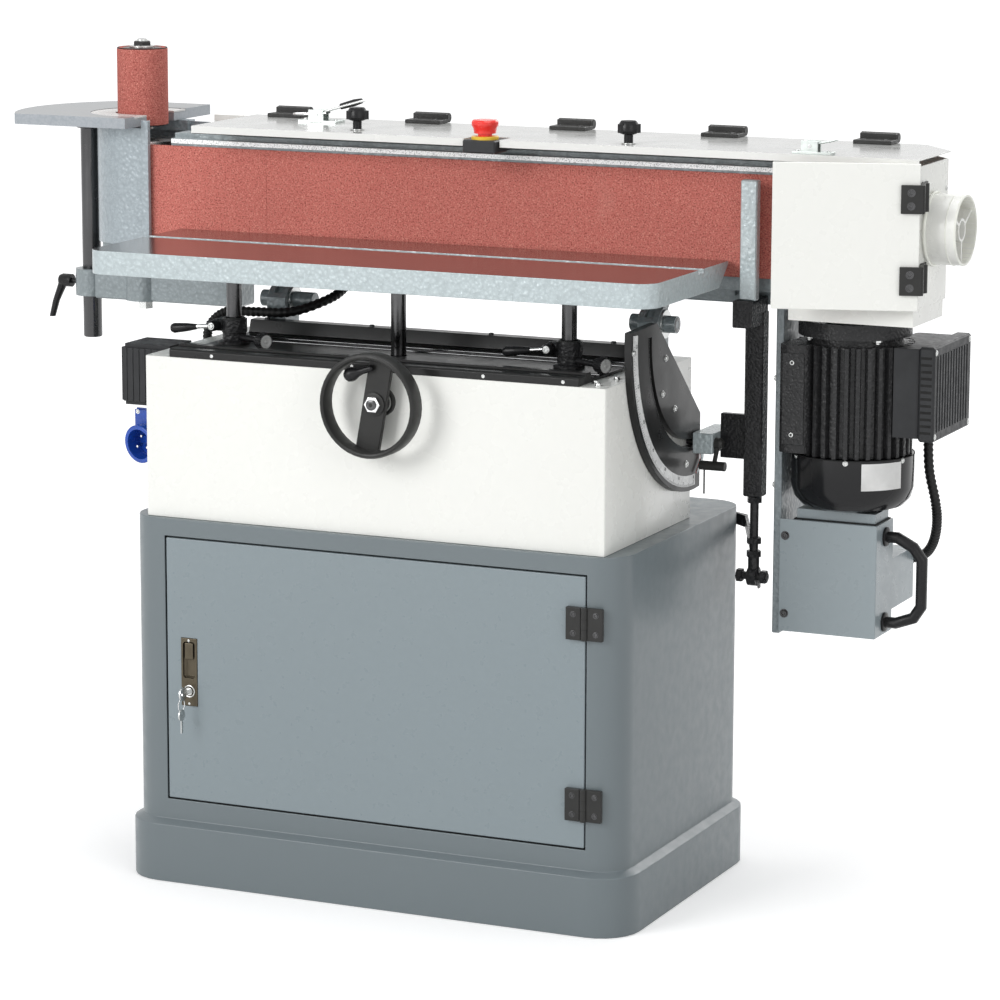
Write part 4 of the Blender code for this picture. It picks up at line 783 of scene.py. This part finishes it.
def add_lid_details():
    low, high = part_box("lid")
    top, rear = LID_TOP, LID_REAR
    for i, x in enumerate(LID_HINGES):
        front = block(x - 0.0296, x + 0.0296, rear - 0.0325, rear + 0.0004, top - 0.0002, top + 0.0060)
        back = block(x - 0.0286, x + 0.0286, rear - 0.0046, rear + 0.0064, top + 0.0004, top + 0.0140)
        barrel = turned(((0.0076, x - 0.0294), (0.0076, x + 0.0294)), rear + 0.006, top + 0.0075, "X", 24)
        hinge = join(front, back, barrel)
        piece(f"lid_hinge_{i}", hinge, "satin_black", "belt_lid", "black_plastic", 0.0012, 3)
        for side, dx in (("l", -0.017), ("r", 0.017)):
            at = (x + dx, rear - 0.0200, top + 0.0059)
            screw(f"lid_hinge_{i}_screw_{side}", at, UP, 0.0034, 0.0010, "belt_lid", *BLACK_STEEL)
    line = block(low.x + 0.001, high.x - 0.001, low.y - 0.0002, low.y + 0.0006, 1.1108, 1.1116)
    piece("lid_lip_shadow", line, "gasket", "belt_lid", "white_paint", *FINE)
    add_latch_foot("tension", -0.278, 0.150, 0.033, 0.016)
    add_latch_foot("lid_latch", 0.580, 0.021, 0.030, 0.0095)
    route = ((-0.262, 0.158, 1.1370), (-0.300, 0.160, 1.1340), (-0.322, 0.150, 1.1330),
             (-0.300, 0.140, 1.1340), (-0.262, 0.142, 1.1370))
    bail = tube(curve_through(route, 6), [0.0016] * 25, 10)
    piece("tension_bail", bail, "chrome", "belt_lid", "zinc", *FINE)
    path = [Vector((x, 0.150, z)) for x, z in ((-0.240, 1.1475), (-0.216, 1.1545), (-0.2030, 1.1580))]
    grip = tube(path, [0.0048, 0.0056, 0.0040], 16)
    piece("tension_grip", grip, "grip_black", "tension", "black_plastic", 0.0006)
    for side, x, y in (("left", -0.166, 0.058), ("right", 0.288, 0.040)):
        knob = f"{side}_lid_knob"
        profile = ((0.0120, top + 0.0328), (0.0112, top + 0.0342), (0.0040, top + 0.0350))
        crown = turned(profile, x, y, count=28)
        piece(f"lid_knob_{side}_crown", crown, "grip_black", knob, "black_plastic", 0.0005)
        profile = ((0.0105, top + 0.0002), (0.0105, top + 0.0018), (0.0070, top + 0.0019))
        washer = turned(profile, x, y, count=28)
        piece(f"lid_knob_{side}_washer", washer, "zinc", knob, "zinc", 0.0002, 1)


def add_latch_foot(name, x, y, length, half):
    """The plate, cheeks, pin and screws under a latch that stands on the lid."""
    top = LID_TOP
    plate = block(x - length * 0.87, x + length * 1.12, y - half - 0.0003, y + half + 0.0003,
                  top - 0.0001, top + 0.0036)
    inner = half * 0.52 + 0.0002
    cheeks = [block(x - 0.0134, x + 0.0124, y + s - 0.0014, y + s + 0.0014, top + 0.003, top + 0.0192)
              for s in (-inner - 0.0012, inner + 0.0012)]
    piece(f"{name}_foot", join(plate, *cheeks), "zinc_plate", "belt_lid", "zinc", 0.0006)
    pin = turned(((0.0024, y - inner - 0.0038), (0.0024, y + inner + 0.0038)), x, top + 0.0115, "Y", 16)
    piece(f"{name}_pin", pin, "chrome", "belt_lid", "zinc", 0.0002, 1)
    for i, dx in enumerate((-0.70, 0.92)):
        screw(f"{name}_foot_screw_{i}", (x + length * dx, y, top + 0.0036), UP, 0.0030, 0.0016, "belt_lid")


ESTOP = (0.066, 0.018)


def add_estop_details():
    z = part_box("estop_housing")[1].z
    collar = ((0.0206, z - 0.0044), (0.0206, z + 0.0004), (0.0180, z + 0.0010), (0.0125, z + 0.0006))
    piece("estop_ring", turned(collar, *ESTOP), "yellow_plastic", "head", "black_plastic", 0.0004)
    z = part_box("estop_button")[1].z
    crown = ((0.0165, z - 0.0194), (0.0176, z - 0.0130), (0.0202, z - 0.0085), (0.0202, z - 0.0036),
             (0.0182, z - 0.0008), (0.0110, z - 0.0002), (0.0060, z + 0.0002))
    piece("estop_crown", turned(crown, *ESTOP, count=40), "red_plastic", "emergency", "red_plastic", 0.0006)
    x, y = ESTOP
    arrows = []
    for start in (15, 135, 255):
        runs = ((0.0140, range(start, start + 81, 16)), (0.0118, range(start + 80, start - 1, -16)))
        arc = [(x + r * math.cos(math.radians(a)), y + r * math.sin(math.radians(a)))
               for r, run in runs for a in run]
        arrows.append(slab(arc, z - 0.0006, z + 0.0001))
    piece("estop_arrows", join(*arrows), "plate_white", "emergency", "white_paint", *FINE)


DOOR_PIN = Vector((0.7505, 0.030, 0.0))
DOOR_TURN = Matrix.Rotation(math.radians(17.0), 4, "Z")


def add_drive_box_details():
    spin = Matrix.Translation(DOOR_PIN) @ DOOR_TURN @ Matrix.Translation(-DOOR_PIN)
    edge, front = 0.7440, 0.0010
    for i, z in enumerate((0.930, 1.047)):
        z0, z1 = z - 0.0005, z + 0.0405
        leaf = block(edge - 0.0272, edge + 0.0045, front - 0.0056, front + 0.0004, z0, z1)
        side = block(edge + 0.0001, edge + 0.0070, front - 0.0046, 0.0314, z0, z1)
        barrel = turned(((0.0056, z0), (0.0056, z1)), DOOR_PIN.x, DOOR_PIN.y, count=20)
        whole = join(leaf, side, barrel)
        bmesh.ops.transform(whole, matrix=spin, verts=whole.verts)
        piece(f"belt_door_hinge_{i}", whole, "satin_black", "belt_door", "black_plastic", 0.0010, 3)
        for k, dz in enumerate((0.0105, 0.0295)):
            at = spin @ Vector((edge - 0.0125, front - 0.0055, z + dz))
            screw(f"belt_door_hinge_{i}_screw_{k}", at, spin.to_3x3() @ Vector(TO_FRONT), 0.0044, 0.0018,
                  "belt_door", *BLACK_STEEL)
        fixed = block(0.7424, 0.7446, 0.0362, 0.0600, z0, z1)
        piece(f"belt_box_hinge_{i}", fixed, "satin_black", "head", "black_plastic", 0.0008)
    x, y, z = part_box("drive_box")[1].x, 0.090, 1.0155
    rims = ((x - 0.0012, 0.0500, 0.0019, 10), (x - 0.0150, 0.0514, 0.0010, 8), (0.7470, 0.0528, 0.0020, 8))
    shape = join(*[ring(y, z, h, major, minor, "X", 64, sides) for h, major, minor, sides in rims])
    piece("port_rims", shape, "port_white", "head", "white_paint", *FINE)
    liner = bmesh.new()
    outline = circle(y, z, 0.0483, 64)
    near, far = [[liner.verts.new((h, a, b)) for a, b in outline] for h in (0.744, x - 0.0008)]
    for i in range(64):
        j = (i + 1) % 64
        liner.faces.new((near[i], near[j], far[j], far[i]))
    piece("port_liner", liner, "port_white", "head", "white_paint", *FINE)
    for i, z in enumerate((0.9650, 1.0680)):
        screw(f"port_screw_{i}", (0.7425, 0.150, z), TO_RIGHT, 0.0032, 0.0018, "head")


# ---------------------------------------- motor end

DRIVE = (0.613, 0.135)


def add_motor_details():
    x, y = DRIVE
    for i in range(4):
        t = math.radians(45 + 90 * i)
        at = (x + 0.0745 * math.cos(t), y + 0.0745 * math.sin(t), 0.8500)
        hex_nut(f"motor_flange_bolt_{i}", at, DOWN, 0.0070, 0.0050, "head")
    for i in range(6):
        t = math.radians(-78 + 60 * i)
        at = (x + 0.0911 * math.cos(t), y + 0.0911 * math.sin(t), 0.6695)
        screw(f"cowl_screw_{i}", at, (math.cos(t), math.sin(t), 0), 0.0030, 0.0014, "head")
    seam = ring(x, y, 0.6727, 0.0908, 0.0008, count=64, sides=6)
    piece("cowl_seam", seam, "gasket", "head", "black_paint", *FINE)
    places = circle(x, y, 0.020, 10) + circle(x, y, 0.030, 16) + circle(x, y, 0.040, 22)
    vents = [turned(((0.0012, 0.5898), (0.0012, 0.5912)), a, b, count=8) for a, b in places]
    piece("cowl_vents", join(*vents), "gasket", "head", "black_paint", *FINE)
    angles = [math.radians(-63 + 4.2 * i) for i in range(11)]
    runs = ((0.0914, angles), (0.0921, angles[::-1]))
    outline = [(x + r * math.cos(t), y + r * math.sin(t)) for r, run in runs for t in run]
    piece("cowl_plate", slab(outline, 0.6290, 0.6690), "plate_white", "head", "white_paint", *FINE)
    for i, z in enumerate((0.705, 0.812)):
        screw(f"capacitor_screw_{i}", (0.545, 0.0521, z), TO_FRONT, 0.0036, 0.0018, "head")
    cover = block(0.5300, 0.5640, 0.0508, 0.0530, 0.690, 0.826)
    piece("capacitor_lid", cover, "motor_black", "head", "black_paint", 0.0018, 3)
    low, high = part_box("terminal_box")
    ribs = [block(high.x - 0.0006, high.x + 0.0012, low.y + 0.014 + 0.0125 * i, low.y + 0.020 + 0.0125 * i,
                  low.z + 0.014, high.z - 0.014) for i in range(12)]
    piece("terminal_ribs", join(*ribs), "box_plastic", "head", "black_plastic", 0.0005)
    notches = [block(high.x - 0.021, high.x - 0.004, low.y - 0.0003, low.y + 0.0008,
                     low.z + 0.012 + 0.010 * i, low.z + 0.0160 + 0.010 * i) for i in range(12)]
    piece("terminal_notches", join(*notches), "gasket", "head", "black_plastic", 0.0004)
    for i, (dy, dz) in enumerate(((0.008, 0.008), (0.165, 0.008), (0.008, 0.132), (0.165, 0.132))):
        at = (high.x - 0.0001, low.y + dy, low.z + dz)
        screw(f"terminal_screw_{i}", at, TO_RIGHT, 0.0034, 0.0014, "head")
    gland = turned(((0.0115, 0.7058), (0.0115, 0.6960), (0.0095, 0.6930)), 0.706, 0.205, count=24)
    piece("motor_gland", gland, "box_plastic", "head", "black_plastic", 0.0004)


def add_ballast_details():
    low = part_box("counterweight_box")[0]
    for i, z in enumerate((0.430, 0.548)):
        screw(f"ballast_flange_screw_{i}", (low.x + 0.0085, low.y + 0.0002, z), TO_FRONT, 0.0050, 0.0036,
              "head", *BLACK_STEEL)
    line = block(0.5400, 0.6680, low.y + 0.0042, 0.1520, 0.5730, 0.5746)
    piece("ballast_lid_line", line, "gasket", "head", "black_paint", 0.0002, 1)
    for i, z in enumerate((0.551, 0.422)):
        flange = turned(((0.0145, 0.6708), (0.0145, 0.6742), (0.0110, 0.6756)), 0.120, z, "X", 26)
        piece(f"pull_handle_foot_{i}", flange, "grip_black", "head", "black_plastic", 0.0005)
    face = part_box("mount_plate")[0].x
    for i, (y, z) in enumerate(((0.100, 0.620), (0.200, 0.620), (0.100, 0.780), (0.200, 0.780))):
        hex_nut(f"mount_plate_bolt_{i}", (face + 0.0001, y, z), TO_LEFT, 0.0075, 0.0045, "head")
    pin = turned(((0.0072, 0.4175), (0.0072, 0.4215), (0.0050, 0.4225)), 0.1325, 0.680, "X", 20)
    piece("pointer_arm_pin", pin, "post_steel", "head", "black_steel", 0.0002, 1)
    outline = ((0.0935, 0.6660), (0.1075, 0.6660), (0.1040, 0.6500), (0.0808, 0.6302), (0.0786, 0.6336),
               (0.0962, 0.6512))
    piece("tilt_pointer", slab(outline, 0.3853, 0.3858, "X"), "pointer_red", "head", "grey_paint", *FINE)


CONDUITS = {
    "cable_conduit": ("stand", (
        (-0.212, 0.112, 0.8853), (-0.212, 0.112, 0.876), (-0.224, 0.080, 0.858), (-0.268, 0.036, 0.840),
        (-0.330, 0.032, 0.8365), (-0.380, 0.030, 0.834), (-0.404, 0.020, 0.812), (-0.401, 0.008, 0.782),
        (-0.391, 0.004, 0.768), (-0.3762, 0.004, 0.768))),
    "motor_conduit": ("head", (
        (0.706, 0.205, 0.7056), (0.706, 0.205, 0.690), (0.708, 0.207, 0.640), (0.717, 0.212, 0.592),
        (0.717, 0.222, 0.560), (0.708, 0.238, 0.528), (0.692, 0.256, 0.505), (0.672, 0.2705, 0.493),
        (0.655, 0.268, 0.488), (0.652, 0.2567, 0.488))),
}


def add_conduits():
    """Corrugated hose along each conduit's route."""
    for node, (body, route) in CONDUITS.items():
        path = curve_through(route, 26)
        radii = [0.0077 if i % 4 in (1, 2) else 0.0067 for i in range(len(path))]
        hose = piece(f"{node}_hose", tube(path, radii, 16), "conduit_black", body, "rubber", *FINE)
        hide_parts(node)


# ---------------------------------------- stage

def light(name, at, target, energy, size):
    data = bpy.data.lights.new(name, "AREA")
    data.energy = energy
    data.shape = "RECTANGLE"
    data.size, data.size_y = size
    obj = bpy.data.objects.new(name, data)
    obj.location = at
    obj.rotation_euler = (Vector(target) - Vector(at)).to_track_quat("-Z", "Y").to_euler()
    bpy.context.scene.collection.objects.link(obj)


def seen(tree):
    """1 for rays from the camera, from a gloss or through glass."""
    path = tree.nodes.new("ShaderNodeLightPath")
    total = path.outputs["Is Camera Ray"]
    for other in ("Is Glossy Ray", "Is Transmission Ray"):
        add = tree.nodes.new("ShaderNodeMath")
        add.operation = "MAXIMUM"
        tree.links.new(total, add.inputs[0])
        tree.links.new(path.outputs[other], add.inputs[1])
        total = add.outputs[0]
    return total


def build_world():
    """Soft light from all round, which the camera sees as plain white."""
    world = bpy.data.worlds.new("studio")
    bpy.context.scene.world = world
    world.use_nodes = True
    tree = world.node_tree
    link = tree.links.new
    shown = tree.nodes.new("ShaderNodeBackground")
    shown.inputs["Color"].default_value = (1, 1, 1, 1)
    shown.inputs["Strength"].default_value = 1.0
    lit = tree.nodes["Background"]
    lit.inputs["Color"].default_value = (0.98, 0.99, 1.0, 1)
    lit.inputs["Strength"].default_value = 0.44
    mix = tree.nodes.new("ShaderNodeMixShader")
    link(seen(tree), mix.inputs[0])
    link(lit.outputs[0], mix.inputs[1])
    link(shown.outputs[0], mix.inputs[2])
    link(mix.outputs[0], tree.nodes["World Output"].inputs[0])


def build_floor():
    """A pale floor that glows a little more with distance, so that it meets the white without an edge."""
    mesh = bpy.data.meshes.new("floor")
    bm = bmesh.new()
    bmesh.ops.create_grid(bm, x_segments=1, y_segments=1, size=40.0)
    bm.to_mesh(mesh)
    bm.free()
    floor = bpy.data.objects.new("floor", mesh)
    floor.location.z = -0.0005
    bpy.context.scene.collection.objects.link(floor)
    white = bpy.data.materials.new("floor_white")
    white.use_nodes = True
    tree = white.node_tree
    link = tree.links.new
    shader = tree.nodes["Principled BSDF"]
    shader.inputs["Base Color"].default_value = (0.86, 0.86, 0.86, 1)
    shader.inputs["Roughness"].default_value = 0.9
    shader.inputs["Specular IOR Level"].default_value = 0.0
    glow = tree.nodes.new("ShaderNodeEmission")
    place = tree.nodes.new("ShaderNodeTexCoord")
    away = tree.nodes.new("ShaderNodeVectorMath")
    away.operation = "LENGTH"
    link(place.outputs["Object"], away.inputs[0])
    fade = tree.nodes.new("ShaderNodeMapRange")
    for key, number in zip(RANGE, (1.5, 6.0, 0.30, 0.80)):
        fade.inputs[key].default_value = number
    link(away.outputs["Value"], fade.inputs["Value"])
    link(fade.outputs["Result"], glow.inputs["Strength"])
    both = tree.nodes.new("ShaderNodeAddShader")
    link(shader.outputs[0], both.inputs[0])
    link(glow.outputs[0], both.inputs[1])
    mix = tree.nodes.new("ShaderNodeMixShader")
    link(seen(tree), mix.inputs[0])
    link(shader.outputs[0], mix.inputs[1])
    link(both.outputs[0], mix.inputs[2])
    link(mix.outputs[0], tree.nodes["Material Output"].inputs[0])
    mesh.materials.append(white)


def build_lights():
    light("key", (-2.4, -4.9, 2.9), (0, 0, 0.7), 174, (2.8, 2.8))
    light("fill", (4.2, -3.0, 2.4), (0.1, 0, 0.7), 46, (3.0, 3.0))
    light("top", (0.2, 0.3, 4.2), (0, 0, 0.5), 70, (3.4, 2.4))
    light("rear", (0.8, 4.6, 3.2), (0, 0, 0.8), 70, (3.0, 2.0))


CAMERA_AT = (2.5228, -5.3594, 1.70)
AZIMUTH, PITCH, ROLL = (math.radians(a) for a in (24.3244, 10.7762, 0.1598))
LENS_MM, SENSOR_MM = 143.015, 36.0


def build_camera():
    data = bpy.data.cameras.new("camera")
    data.sensor_width = SENSOR_MM
    data.lens = LENS_MM
    camera = bpy.data.objects.new("camera", data)
    bpy.context.scene.collection.objects.link(camera)
    level = Vector((-math.sin(AZIMUTH), math.cos(AZIMUTH), 0.0))
    forward = level * math.cos(PITCH) - Vector((0.0, 0.0, math.sin(PITCH)))
    aim = forward.to_track_quat("-Z", "Y").to_matrix().to_4x4()
    camera.matrix_world = Matrix.Translation(CAMERA_AT) @ aim @ Matrix.Rotation(ROLL, 4, "Z")
    bpy.context.scene.camera = camera
    bpy.context.scene.view_settings.view_transform = "Standard"


build_camera()
build_world()
build_floor()
build_lights()
dress_frame()
add_cabinet_details()
add_keys()
add_console_details()
add_post_details()
add_wheel_details()
add_switch_details()
add_scale()
add_trunnion_details()
add_platen_details()
add_drum_details()
add_lid_details()
add_estop_details()
add_drive_box_details()
add_motor_details()
add_ballast_details()
add_conduits()
